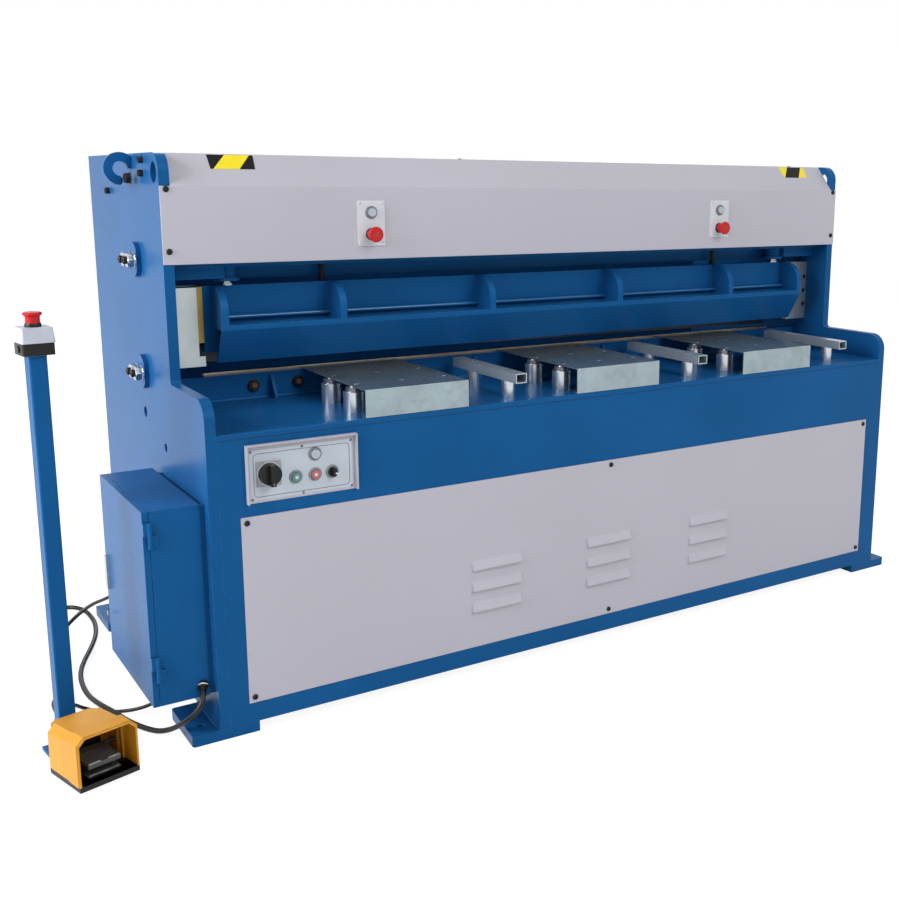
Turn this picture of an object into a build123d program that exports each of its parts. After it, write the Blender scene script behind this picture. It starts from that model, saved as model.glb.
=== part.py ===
from build123d import *
import math
import os

# Hydraulic guillotine shear with a two-metre blade, on four anchored feet, with its electric
# cabinet on the left side plate and a loose pedestal that carries a stop button and a foot switch.
# Millimetres. X runs along the blades, +Y goes from the operator to the back, Z is up.
# The origin is on the floor, at the centre of the four anchor holes.

# Frame
frame_length = 2270
frame_depth = 966
side_thickness = 25
throat_setback = 255.6
cheek_rise = 81
head_height = 273
cheek_radius = 50
crown_radius = 45
throat_radius = 12
lifting_hole_radius = 25
lifting_hole_from_front = 41.4
lifting_hole_from_top = 46
pin_hole_radius = 14
pin_hole_from_rear = 458
pin_hole_drop = 28
oil_hole_radius = 11
oil_hole_from_rear = 635
oil_hole_drop = 90

# Feet and anchor holes
foot_thickness = 26
foot_outside = 65
foot_inside = 95
front_foot_depth = 180
rear_foot_depth = 168
rear_foot_overhang = 30
foot_corner_radius = 8
anchor_hole_radius = 9
anchor_outside = 31
anchor_inset_front = 50
anchor_inset_rear = 20

# Bed
front_plate_thickness = 12
table_height = 735
table_thickness = 25
table_edge_radius = 3
holder_thickness = 25
holder_from_front = 400
holder_height = 67
rib_thickness = 8
rib_depth = 40
rib_land = 8
rib_top_gap = 6
rib_places = (-835, -420, -215, 255, 425, 850)
lower_blade_thickness = 20
lower_blade_height = 63
blade_end_gap = 130
blade_seat_depth = 10
bed_beam_thickness = 30
bed_beam_foot = 300
chute_thickness = 3
chute_drop = 30
chute_knee_rise = 5
chute_land = 20
chute_lip = 22
rear_panel_thickness = 10
rear_panel_top = 425
rear_guard_thickness = 4
rear_guard_inset = 6
rear_guard_foot = 690
rear_guard_top = 1330

# Upper frame
top_beam_from_front = 305
top_beam_depth = 95
top_beam_crown_gap = 41
top_beam_wall = 12
apron_flange_drop = 38
apron_flange_thickness = 20
cover_thickness = 3
cover_foot_gap = 12
cover_fold_drop = 77.4
cover_slope_run = 64.5
cover_top_run = 330
cover_lip = 60
cover_side_gap = 0.5

# Hydraulic cylinders at both ends of the knife beam
cylinder_from_side = 155
cylinder_setback = 360
barrel_radius = 25
barrel_length = 230
barrel_collar_radius = 33
barrel_collar_height = 8
barrel_play = 0.3
barrel_bore = 13
rod_radius = 12.5
rod_pad_radius = 18
rod_pad_height = 6
rod_overlap = 120
barrel_end_play = 10
bracket_width = 140
bracket_depth = 76
bracket_height = 30

# Knife beam, the part that moves
stroke = 38
beam_rise = 305
beam_headroom = 50
beam_front = 352
beam_plate_thickness = 30
beam_plate_height = 168
strip_width = 15
gib_width = 75
gib_play = 0.5
gib_front = 346
gib_height = 199
gib_top_drop = 2
gib_depth = 60
strip_height = 141
strip_top_drop = 1
strip_front = 350
strip_depth = 52
gib_toe_height = 26
gib_toe_depth = 22
gib_bolt_radius = 8
gib_bolt_inset = 10
gib_bolt_depth = 14
gib_bolt_rises = (50, 98, 146)
shelf_front = 265
shelf_end = 135
shelf_rise = 201
shelf_thickness = 13
shelf_slot_end_gap = 70
shelf_slot_width = 16
shelf_slot_from_front = 20
apron_thickness = 8
apron_drop = 86
apron_foot_run = 52
carrier_drop = 22
carrier_head_rise = 48
gusset_thickness = 18
gusset_end_bay = 312
gusset_crown_radius = 62
rail_radius = 5
rail_from_plate = 14
rail_height = 12
carrier_thickness = 26
carrier_head_thickness = 20
upper_blade_thickness = 20
upper_blade_height = 70
blade_gap = 1
blade_opening = 8
rake_rise = 18
buffer_place = 692
buffer_from_front = 378
buffer_radius = 12
buffer_waist = 6
seat_gap = 0.3

# Front panel and louvres
panel_side_gap = 72
panel_foot = 76
panel_top_gap = 31
panel_thickness = 2
louvre_length = 150
louvre_height = 26
louvre_depth = 9
louvre_sheet = 1.5
louvre_pitch = 58
louvre_places = (-377, -4, 374)
louvre_foot = 176
louvre_rows = 3

# Side bosses, lifting hooks
boss_radius = 44
boss_flat = 37
boss_thickness = 12
boss_places = ((-5, 367), (-12, 82))
boss_bolt_radius = 13
boss_bolt_spacing = 42
boss_bolt_height = 16
boss_washer_radius = 19
boss_washer_thickness = 4
hook_outer_radius = 40
hook_inner_radius = 18
hook_thickness = 16
hook_drop = 37
hook_from_front = 498
hook_reach = 28

# Control panel
control_inset = 88
control_width = 273
control_drop = 169
control_height = 139
hood_depth = 15
hood_sheet = 3
control_plate_thickness = 2
control_window_width = 216
control_window_height = 100
switch_plate_side = 60
switch_plate_thickness = 3
switch_knob_radius = 25
switch_knob_height = 18
switch_grip_width = 12
switch_grip_height = 14
switch_stem_radius = 6
button_radius = 11
button_play = 0.4
bezel_radius = 15
bezel_height = 4
button_proud = 9
button_tail = 14
button_travel = 4
switch_spot = (54, 67)
start_spot = (119, 50)
stop_spot = (167, 50)
pilot_spot = (168, 100)
selector_spot = (210, 51)
selector_grip_width = 8
selector_grip_inset = 1

# Stop stations on the cover
station_place = 603
station_width = 77
station_height = 116
station_rise = 34
station_thickness = 3
station_stop_height = 30
station_button_height = 86
mushroom_radius = 20
mushroom_brim = 5
mushroom_flare = 5
mushroom_body_radius = 15
mushroom_body_height = 20
mushroom_neck_radius = 12
mushroom_lift = 7
mushroom_travel = 5
mushroom_tail = 12
mushroom_end_gap = 1

# Electric cabinet
cabinet_depth = 128
cabinet_standoff = 12
cabinet_width = 399
cabinet_height = 466
cabinet_from_front = 31
cabinet_foot = 108
cabinet_wall = 3
door_depth = 14
door_sheet = 2
door_gap = 1
hinge_radius = 5.5
hinge_length = 60
hinge_leaf = 2
hinge_leaf_width = 16
hinge_heights = (199, 519)
hinge_reach = 7
hinge_split = 0.4
lock_height = 85
lock_width = 22
lock_depth = 9
lock_from_rear = 33
lock_foot = 179

# Sheet supports on the table
support_from_left = 509
support_middle = 25
support_from_right = 471
support_width = 286
support_rise = 70
support_sheet = 3
support_rear = 420
support_flange = 69
support_return = 18
roller_radius = 26
roller_height = 52
roller_neck_radius = 11
roller_inset = 13
roller_rows = (98, 240)
arm_shifts = (-3, 11)
arm_from_right = 166
arm_width = 34
arm_height = 26
arm_wall = 2.5
arm_length = 345
arm_from_front = 12
arm_spacer_radius = 18
arm_spacer_rows = (80, 270)

# Pedestal with the stop button, and the foot switch on its base plate
pedestal_from_side = 306
pedestal_from_front = 170
pedestal_turn = 7
base_width = 100
base_length = 195
base_thickness = 8
base_behind_post = 21
post_side = 38
post_wall = 2.5
post_top = 925
post_corner = 4
box_side = 70
box_height = 60
box_base_side = 65
box_base_height = 27
box_corner = 5
box_cover_taper = 6.5
pad_turn = 15.2
pad_from_side = 328.6
pad_before_front = 84.1
pad_width = 136.6
pad_length = 136
pad_base = 12
guard_height = 122
guard_rear_height = 112
guard_wall = 4
guard_shoulder = 16
guard_back_width = 112
guard_back_length = 64
guard_back_reach = 30
guard_back_height = 92
guard_back_corner = 26
toe_plate_thickness = 4
toe_plate_length = 92
switch_body_height = 42
switch_body_length = 22
treadle_width = 74
treadle_length = 78
treadle_thickness = 10
treadle_front_height = 52
treadle_rear_height = 56
treadle_pin_radius = 5
treadle_front = 22

# Cables and their glands: the pedestal's power cable, its signal cable and its stop cable.
# Each route lists the corners between the two glands.
power_diameter = 13
signal_diameter = 9
stop_diameter = 11
corner_share = 0.45
large_gland_radius = 11
small_gland_radius = 8
gland_length = 14
gland_nut_length = 7
gland_cap_share = 0.85
power_gland_from_side = 26
power_gland_height = 135
power_gland_lean = (-0.25, -0.75, -0.61)
power_flange_radius = 14
power_flange_thickness = 4
signal_gland_spot = (-1205, -293)
stop_gland_from_side = 55
stop_gland_height = 60
post_gland_heights = (38, 84, 61)
power_runs = (16, 42)
signal_runs = (32, 47)
stop_runs = (45, 48)
power_route = ((-1177, -498, 101), (-1188, -496, 84), (-1204, -481, 64), (-1219, -446, 38),
               (-1233, -412, 18), (-1252, -386, 9), (-1276, -345, 8.5), (-1300, -298, 13),
               (-1317.5, -248, 19), (-1337, -180, 17), (-1347, -93, 8), (-1344.5, -3, 8),
               (-1331, 73, 8), (-1305, 146, 8), (-1273, 219, 8), (-1239.5, 311, 8),
               (-1222, 404.5, 8), (-1221, 477, 8), (-1227, 532, 8), (-1245, 571, 8),
               (-1273, 587, 8), (-1301, 584, 8), (-1322, 564, 8), (-1327, 534, 8),
               (-1328, 472, 8), (-1339, 378, 8), (-1357, 262, 8), (-1381, 142, 8),
               (-1399, 22, 8), (-1421, -93, 8), (-1435, -193, 8))
signal_route = ((-1227, -282, 34), (-1265, -255, 15), (-1307.5, -219, 5), (-1340, -196, 5),
                (-1375, -188, 20), (-1400, -208, 45))
stop_route = ((-1444, -196, 60), (-1424, -140, 38), (-1404, -72, 15), (-1381, 22, 6),
              (-1363, 142, 6), (-1339, 262, 6), (-1320, 378, 6), (-1301, 418, 9),
              (-1255, 464, 24.5), (-1203, 527, 24.5), (-1160, 585, 10), (-1120, 626, 6),
              (-1082, 624, 6), (-1060, 592, 9), (-1054, 552, 30))

# Places worked out from the sizes above
half_length = frame_length / 2
inner_half = half_length - side_thickness
anchor_span = frame_depth - anchor_inset_front - anchor_inset_rear
front_y = -anchor_span / 2 - anchor_inset_front
blade_length = frame_length - 2 * blade_end_gap
support_places = (support_from_left - inner_half, support_middle, inner_half - support_from_right)
arm_places = ((support_places[0] + support_places[1]) / 2 + arm_shifts[0],
              (support_places[1] + support_places[2]) / 2 + arm_shifts[1], inner_half - arm_from_right)
pedestal_x = -half_length - pedestal_from_side
pedestal_y = front_y + pedestal_from_front
pad_corner = (-half_length - pad_from_side, front_y - pad_before_front)
stop_gland_spot = (stop_gland_from_side - inner_half, stop_gland_height)
rear_y = front_y + frame_depth
throat_y = front_y + throat_setback
cheek_height = table_height + cheek_rise
beam_top = table_height + beam_rise
beam_plate_foot = beam_top - beam_plate_height
top_beam_bottom = beam_top + beam_headroom
frame_height = top_beam_bottom + head_height
top_beam_top = frame_height - top_beam_crown_gap
cover_bottom = top_beam_bottom + cover_foot_gap
cover_fold = frame_height - cover_fold_drop
station_foot = cover_bottom + station_rise
bracket_foot = top_beam_bottom - bracket_height
barrel_foot = bracket_foot - barrel_collar_height
hook_height = frame_height - hook_drop
control_foot = table_height - control_drop
panel_top = control_foot - panel_top_gap
support_top = table_height + support_rise
gib_foot = beam_top - gib_top_drop - gib_height
strip_foot = beam_top - strip_top_drop - strip_height
shelf_level = table_height + shelf_rise
apron_foot_height = shelf_level - apron_drop
carrier_foot = beam_plate_foot - carrier_drop
carrier_head_level = beam_plate_foot + carrier_head_rise
table_under = table_height - table_thickness
holder_front_y = front_y + holder_from_front
holder_rear_y = holder_front_y + holder_thickness
holder_top = table_height + holder_height
blade_face_y = holder_rear_y + lower_blade_thickness
blade_seat = table_height + blade_seat_depth
rake_low = blade_seat + lower_blade_height + blade_opening
chute_top = blade_seat - chute_drop
beam_front_y = front_y + beam_front
beam_rear_y = beam_front_y + beam_plate_thickness
beam_half = half_length - side_thickness - gib_width - strip_width - gib_play
cylinder_x = half_length - side_thickness - cylinder_from_side
cylinder_y = front_y + cylinder_setback
upper_blade_y = blade_face_y + blade_gap
carrier_y = upper_blade_y + upper_blade_thickness
shelf_y = front_y + shelf_front
shelf_half = half_length - shelf_end
shelf_top = shelf_level + shelf_thickness
cover_face_y = throat_y - cover_thickness
control_x = -half_length + control_inset
cabinet_inner_x = -half_length - cabinet_standoff
cabinet_front_y = front_y + cabinet_from_front
cabinet_rear_y = cabinet_front_y + cabinet_width
cabinet_top = cabinet_foot + cabinet_height
cabinet_outer_x = -half_length - cabinet_standoff - cabinet_depth
door_inner_x = cabinet_outer_x + door_depth
hinge_x = door_inner_x
hinge_y = cabinet_front_y - hinge_reach


def write_piece(builder, name):
    builder.part.label = name
    export_step(builder.part, "parts/" + name + ".step")


def block(x_low, x_high, y_low, y_high, z_low, z_high, mode=Mode.ADD):
    with Locations(((x_low + x_high) / 2, (y_low + y_high) / 2, (z_low + z_high) / 2)):
        Box(x_high - x_low, y_high - y_low, z_high - z_low, mode=mode)


def upright(x, y, z_low, z_high, radius, mode=Mode.ADD):
    with Locations((x, y, (z_low + z_high) / 2)):
        Cylinder(radius, z_high - z_low, mode=mode)


def peg(x, z, y_low, y_high, radius, mode=Mode.ADD):
    with Locations((x, (y_low + y_high) / 2, z)):
        Cylinder(radius, y_high - y_low, rotation=(90, 0, 0), mode=mode)


def cross_pin(y, z, x_low, x_high, radius, mode=Mode.ADD):
    with Locations(((x_low + x_high) / 2, y, z)):
        Cylinder(radius, x_high - x_low, rotation=(0, 90, 0), mode=mode)


def make_feet():
    with BuildPart() as feet:
        for side in (-1, 1):
            outer = side * (half_length + foot_outside)
            inner = side * (half_length - foot_inside)
            ends = ((front_y, front_y + front_foot_depth),
                    (rear_y + rear_foot_overhang - rear_foot_depth, rear_y + rear_foot_overhang))
            for low, high in ends:
                block(min(outer, inner), max(outer, inner), low, high, 0, foot_thickness)
            for hole_y in (-anchor_span / 2, anchor_span / 2):
                upright(side * (half_length + anchor_outside), hole_y, 0, foot_thickness,
                        anchor_hole_radius, Mode.SUBTRACT)
        outside = feet.edges().filter_by(Axis.Z).filter_by(GeomType.LINE)
        fillet([edge for edge in outside if abs(edge.center().X) > half_length], foot_corner_radius)
    write_piece(feet, "feet")


def make_side_plate(side, name):
    with BuildPart() as side_plate:
        with BuildSketch(Plane.YZ.offset(min(side * half_length, side * inner_half))) as outline:
            with BuildLine():
                Polyline((front_y, foot_thickness), (front_y, cheek_height), (throat_y, cheek_height),
                         (throat_y, frame_height), (rear_y, frame_height), (rear_y, foot_thickness),
                         close=True)
            make_face()
            fillet(outline.vertices().sort_by_distance((front_y, cheek_height))[0], cheek_radius)
            fillet(outline.vertices().sort_by_distance((throat_y, frame_height))[0], crown_radius)
            fillet(outline.vertices().sort_by_distance((throat_y, cheek_height))[0], throat_radius)
            with Locations((throat_y + lifting_hole_from_front, frame_height - lifting_hole_from_top)):
                Circle(lifting_hole_radius, mode=Mode.SUBTRACT)
            with Locations((rear_y - pin_hole_from_rear, table_height - pin_hole_drop)):
                Circle(pin_hole_radius, mode=Mode.SUBTRACT)
            with Locations((rear_y - oil_hole_from_rear, table_height - oil_hole_drop)):
                Circle(oil_hole_radius, mode=Mode.SUBTRACT)
        extrude(amount=side_thickness)
    write_piece(side_plate, name)


def make_front_plate():
    middle_x = control_x + control_width / 2
    middle_z = control_foot + control_height / 2
    with BuildPart() as front_plate:
        block(-inner_half, inner_half, front_y, front_y + front_plate_thickness, foot_thickness,
              table_height)
        top_edge = front_plate.faces().sort_by(Axis.Z)[-1].edges().sort_by(Axis.Y)[0]
        fillet(top_edge, table_edge_radius)
        block(middle_x - control_window_width / 2, middle_x + control_window_width / 2,
              front_y, front_y + front_plate_thickness,
              middle_z - control_window_height / 2, middle_z + control_window_height / 2, Mode.SUBTRACT)
    write_piece(front_plate, "front_plate")


def make_table_plate():
    with BuildPart() as table_plate:
        block(-inner_half, inner_half, front_y + front_plate_thickness, holder_rear_y,
              table_under, table_height)
    write_piece(table_plate, "table_plate")


def make_blade_holder():
    with BuildPart() as blade_holder:
        block(-inner_half, inner_half, holder_front_y, holder_rear_y, table_height, holder_top)
        for place in rib_places:
            with BuildSketch(Plane.YZ.offset(place - rib_thickness / 2)):
                with BuildLine():
                    Polyline((holder_front_y, table_height), (holder_front_y - rib_depth, table_height),
                             (holder_front_y - rib_depth, table_height + rib_land),
                             (holder_front_y - rib_land, holder_top - rib_top_gap),
                             (holder_front_y, holder_top - rib_top_gap), close=True)
                make_face()
            extrude(amount=rib_thickness)
    write_piece(blade_holder, "blade_holder")


def make_lower_blade():
    with BuildPart() as lower_blade:
        block(-blade_length / 2, blade_length / 2, holder_rear_y, blade_face_y,
              blade_seat, blade_seat + lower_blade_height)
    write_piece(lower_blade, "lower_blade")


def make_bed_beam():
    with BuildPart() as bed_beam:
        block(-inner_half, inner_half, holder_rear_y, holder_rear_y + bed_beam_thickness,
              bed_beam_foot, blade_seat)
    write_piece(bed_beam, "bed_beam")


def make_rear_chute():
    start = (holder_rear_y + bed_beam_thickness, chute_top)
    land = (start[0] + chute_land, chute_top)
    knee = (rear_y - rear_panel_thickness, rear_panel_top + chute_knee_rise)
    with BuildPart() as rear_chute:
        with BuildSketch(Plane.YZ.offset(-inner_half)):
            with BuildLine():
                Polyline(start, land, knee, (knee[0], knee[1] - chute_lip))
                offset(amount=chute_thickness, side=Side.RIGHT)
            make_face()
        extrude(amount=2 * inner_half)
    write_piece(rear_chute, "rear_chute")


def make_rear_panel():
    with BuildPart() as rear_panel:
        block(-inner_half, inner_half, rear_y - rear_panel_thickness, rear_y, foot_thickness, rear_panel_top)
    write_piece(rear_panel, "rear_panel")
    guard_rear = rear_y - rear_guard_inset
    with BuildPart() as rear_guard:
        block(-inner_half, inner_half, guard_rear - rear_guard_thickness, guard_rear,
              rear_guard_foot, rear_guard_top)
    write_piece(rear_guard, "rear_guard")


def make_top_beam():
    low_y = front_y + top_beam_from_front
    high_y = low_y + top_beam_depth
    with BuildPart() as top_beam:
        with BuildSketch(Plane.YZ.offset(-inner_half)):
            with BuildLine():
                Polyline((low_y, top_beam_bottom), (low_y, top_beam_top),
                         (high_y + apron_flange_thickness, top_beam_top),
                         (high_y + apron_flange_thickness, top_beam_bottom - apron_flange_drop),
                         (high_y, top_beam_bottom - apron_flange_drop), (high_y, top_beam_bottom),
                         close=True)
            make_face()
            with Locations(((low_y + high_y) / 2, (top_beam_bottom + top_beam_top) / 2)):
                Rectangle(top_beam_depth - 2 * top_beam_wall,
                          top_beam_top - top_beam_bottom - 2 * top_beam_wall, mode=Mode.SUBTRACT)
        extrude(amount=2 * inner_half)
        for side in (-1, 1):
            upright(side * cylinder_x, cylinder_y, top_beam_bottom, top_beam_bottom + top_beam_wall,
                    barrel_radius + barrel_play, Mode.SUBTRACT)
    write_piece(top_beam, "top_beam")


def make_upper_cover():
    slope_end = (cover_face_y + cover_slope_run, frame_height - cover_thickness)
    top_end = (slope_end[0] + cover_top_run, slope_end[1])
    roof_half = inner_half - cover_side_gap
    with BuildPart() as upper_cover:
        with BuildSketch(Plane.YZ.offset(-roof_half)):
            with BuildLine():
                Polyline((cover_face_y + cover_thickness, cover_bottom),
                         (cover_face_y + cover_thickness, cover_fold),
                         slope_end, top_end, (top_end[0], top_end[1] - cover_lip))
                offset(amount=cover_thickness, side=Side.LEFT)
            make_face()
        extrude(amount=2 * roof_half)
        block(-half_length, half_length, cover_face_y, throat_y, cover_bottom, cover_fold)
        for side in (-1, 1):
            peg(side * station_place, station_foot + station_button_height, cover_face_y, throat_y,
                button_radius + button_play, Mode.SUBTRACT)
            peg(side * station_place, station_foot + station_stop_height, cover_face_y, throat_y,
                mushroom_neck_radius + button_play, Mode.SUBTRACT)
    write_piece(upper_cover, "upper_cover")


def add_louvre(column, foot):
    # Pressed outwards from the sheet: a sloping hood that is open along its lower edge.
    face = front_y - panel_thickness
    nose = face - louvre_depth
    nose_top = foot + louvre_depth / 2
    slope = (foot + louvre_height - nose_top) / louvre_depth
    inner_drop = louvre_sheet * math.sqrt(1 + slope ** 2)
    inner_nose_top = nose_top + slope * louvre_sheet - inner_drop
    inner_top = foot + louvre_height - inner_drop
    with BuildSketch(Plane.YZ.offset(column - louvre_length / 2)) as hood:
        with BuildLine():
            Polyline((face, foot), (face, foot + louvre_height), (nose, nose_top), (nose, foot), close=True)
        make_face()
    extrude(hood.sketch, amount=louvre_length)
    with BuildSketch(Plane.YZ.offset(column - louvre_length / 2 + louvre_sheet)) as hollow:
        with BuildLine():
            Polyline((front_y, foot), (front_y, inner_top), (face, inner_top),
                     (nose + louvre_sheet, inner_nose_top), (nose + louvre_sheet, foot), close=True)
        make_face()
    extrude(hollow.sketch, amount=louvre_length - 2 * louvre_sheet, mode=Mode.SUBTRACT)


def make_front_panel():
    panel_half = half_length - panel_side_gap
    with BuildPart() as front_panel:
        block(-panel_half, panel_half, front_y - panel_thickness, front_y, panel_foot, panel_top)
        for column in louvre_places:
            for row in range(louvre_rows):
                add_louvre(column, louvre_foot + row * louvre_pitch)
    write_piece(front_panel, "front_panel")


def make_gibs():
    with BuildPart() as gib_plates:
        for side in (-1, 1):
            near = side * inner_half
            far = side * (inner_half - gib_width)
            toe = side * (inner_half - gib_width - strip_width)
            low_y = front_y + gib_front
            block(min(near, far), max(near, far), low_y, low_y + gib_depth, gib_foot, gib_foot + gib_height)
            block(min(far, toe), max(far, toe), low_y, low_y + gib_toe_depth,
                  gib_foot, gib_foot + gib_toe_height)
            for rise in gib_bolt_rises:
                peg(side * (inner_half - gib_bolt_inset), gib_foot + rise, low_y, low_y + gib_bolt_depth,
                    gib_bolt_radius, Mode.SUBTRACT)
    write_piece(gib_plates, "gib_plates")
    with BuildPart() as gib_strips:
        for side in (-1, 1):
            near = side * (inner_half - gib_width)
            far = side * (inner_half - gib_width - strip_width)
            low_y = front_y + strip_front
            block(min(near, far), max(near, far), low_y, low_y + strip_depth,
                  strip_foot, strip_foot + strip_height)
    write_piece(gib_strips, "gib_strips")


def make_cylinders():
    with BuildPart() as cylinder_brackets:
        for side in (-1, 1):
            near = side * inner_half
            far = side * (inner_half - bracket_width)
            block(min(near, far), max(near, far), cylinder_y - bracket_depth / 2,
                  cylinder_y + bracket_depth / 2, bracket_foot, top_beam_bottom)
            upright(side * cylinder_x, cylinder_y, bracket_foot, top_beam_bottom,
                    barrel_radius + barrel_play, Mode.SUBTRACT)
    write_piece(cylinder_brackets, "cylinder_brackets")
    with BuildPart() as cylinder_barrels:
        for side in (-1, 1):
            upright(side * cylinder_x, cylinder_y, barrel_foot, barrel_foot + barrel_length, barrel_radius)
            upright(side * cylinder_x, cylinder_y, barrel_foot, bracket_foot, barrel_collar_radius)
            upright(side * cylinder_x, cylinder_y, barrel_foot, barrel_foot + rod_overlap + barrel_end_play,
                    barrel_bore, Mode.SUBTRACT)
    write_piece(cylinder_barrels, "cylinder_barrels")
    with BuildPart() as piston_rods:
        for side in (-1, 1):
            upright(side * cylinder_x, cylinder_y, beam_top, beam_top + rod_pad_height, rod_pad_radius)
            upright(side * cylinder_x, cylinder_y, beam_top, barrel_foot + rod_overlap, rod_radius)
    write_piece(piston_rods, "piston_rods")


def make_stop_buffers():
    middle_z = (beam_top + top_beam_bottom) / 2
    with BuildPart() as stop_buffers:
        for side in (-1, 1):
            spot = Plane(origin=(side * buffer_place, front_y + buffer_from_front, 0), x_dir=(1, 0, 0),
                         z_dir=(0, -1, 0))
            with BuildSketch(spot):
                with BuildLine():
                    Line((0, beam_top + seat_gap), (buffer_radius, beam_top + seat_gap))
                    ThreePointArc((buffer_radius, beam_top + seat_gap), (buffer_waist, middle_z),
                                  (buffer_radius, top_beam_bottom))
                    Line((buffer_radius, top_beam_bottom), (0, top_beam_bottom))
                    Line((0, top_beam_bottom), (0, beam_top + seat_gap))
                make_face()
            revolve(axis=Axis((side * buffer_place, front_y + buffer_from_front, 0), (0, 0, 1)))
    write_piece(stop_buffers, "stop_buffers")


def make_beam_plate():
    with BuildPart() as beam_plate:
        block(-beam_half, beam_half, beam_front_y, beam_rear_y, beam_plate_foot, beam_top)
    write_piece(beam_plate, "beam_plate")


def make_beam_shelf():
    rows = gusset_rows()
    with BuildPart() as beam_shelf:
        block(-shelf_half, shelf_half, shelf_y, beam_front_y, shelf_level, shelf_top)
        with BuildSketch(Plane.YZ.offset(-shelf_half)):
            with BuildLine():
                Polyline((shelf_y, shelf_level), (shelf_y + apron_foot_run, apron_foot_height),
                         (shelf_y + apron_foot_run + apron_thickness, apron_foot_height),
                         (shelf_y + apron_thickness, shelf_level), close=True)
            make_face()
        extrude(amount=2 * shelf_half)
        slot_y = shelf_y + shelf_slot_from_front
        for left, right in zip(rows[:-1], rows[1:]):
            block(left + shelf_slot_end_gap, right - shelf_slot_end_gap, slot_y, slot_y + shelf_slot_width,
                  shelf_level, shelf_top, Mode.SUBTRACT)
    write_piece(beam_shelf, "beam_shelf")


def gusset_rows():
    end = shelf_half - gusset_thickness / 2
    # The three bays between the outer gussets are equal, to a whole millimetre.
    outer = end - gusset_end_bay
    inner = round(outer / 3)
    return -end, -outer, -inner, inner, outer, end


def make_beam_gussets():
    with BuildPart() as beam_gussets:
        for place in gusset_rows():
            with BuildSketch(Plane.YZ.offset(place - gusset_thickness / 2)) as outline:
                with BuildLine():
                    Polyline((beam_front_y, shelf_top), (beam_front_y, beam_top), (shelf_y, beam_top),
                             (shelf_y, shelf_top), close=True)
                make_face()
                fillet(outline.vertices().sort_by_distance((shelf_y, beam_top))[0], gusset_crown_radius)
            extrude(amount=gusset_thickness)
    write_piece(beam_gussets, "beam_gussets")


def make_shelf_bars():
    rows = gusset_rows()
    half_gusset = gusset_thickness / 2
    with BuildPart() as shelf_bars:
        for left, right in zip(rows[:-1], rows[1:]):
            cross_pin(beam_front_y - rail_from_plate, shelf_top + rail_height,
                      left + half_gusset, right - half_gusset, rail_radius)
    write_piece(shelf_bars, "shelf_bars")


def make_blade_carrier():
    with BuildPart() as blade_carrier:
        block(-beam_half, beam_half, beam_rear_y, carrier_y, carrier_head_level,
              carrier_head_level + carrier_head_thickness)
        block(-beam_half, beam_half, carrier_y, carrier_y + carrier_thickness, carrier_foot,
              carrier_head_level + carrier_head_thickness)
    write_piece(blade_carrier, "blade_carrier")


def make_upper_blade():
    with BuildPart() as upper_blade:
        with BuildSketch(Plane.XZ.offset(-upper_blade_y)):
            with BuildLine():
                Polyline((-blade_length / 2, rake_low + rake_rise), (blade_length / 2, rake_low),
                         (blade_length / 2, rake_low + upper_blade_height),
                         (-blade_length / 2, rake_low + upper_blade_height), close=True)
            make_face()
        extrude(amount=-upper_blade_thickness)
    write_piece(upper_blade, "upper_blade")


def make_side_bosses():
    with BuildPart() as side_bosses:
        for side in (-1, 1):
            face = side * half_length
            top = side * (half_length + boss_thickness)
            washer_top = top + side * boss_washer_thickness
            for boss_y, boss_rise in boss_places:
                boss_z = table_height + boss_rise
                with BuildSketch(Plane.YZ.offset(min(face, top))):
                    with Locations((boss_y, boss_z)):
                        Circle(boss_radius)
                        Rectangle(2 * boss_flat, 2 * boss_radius, mode=Mode.INTERSECT)
                extrude(amount=boss_thickness)
                for shift in (-boss_bolt_spacing / 2, boss_bolt_spacing / 2):
                    cross_pin(boss_y + shift, boss_z, min(top, washer_top), max(top, washer_top),
                              boss_washer_radius)
                    bolt_top = washer_top + side * boss_bolt_height
                    cross_pin(boss_y + shift, boss_z, min(washer_top, bolt_top), max(washer_top, bolt_top),
                              boss_bolt_radius)
    write_piece(side_bosses, "side_bosses")


def make_lifting_hooks():
    hook_y = front_y + hook_from_front
    with BuildPart() as lifting_hooks:
        for side in (-1, 1):
            face = side * half_length
            middle_x = face + side * hook_reach
            with BuildSketch(Plane.XZ.offset(-hook_y - hook_thickness / 2)):
                with Locations((middle_x, hook_height)):
                    Circle(hook_outer_radius)
                    Circle(hook_inner_radius, mode=Mode.SUBTRACT)
                with Locations((face - side * hook_outer_radius, hook_height)):
                    Rectangle(2 * hook_outer_radius, 3 * hook_outer_radius, mode=Mode.SUBTRACT)
                with Locations(((face + middle_x) / 2, hook_height - hook_outer_radius / 2)):
                    Rectangle(hook_reach, hook_outer_radius, mode=Mode.SUBTRACT)
            extrude(amount=hook_thickness)
    write_piece(lifting_hooks, "lifting_hooks")


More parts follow.
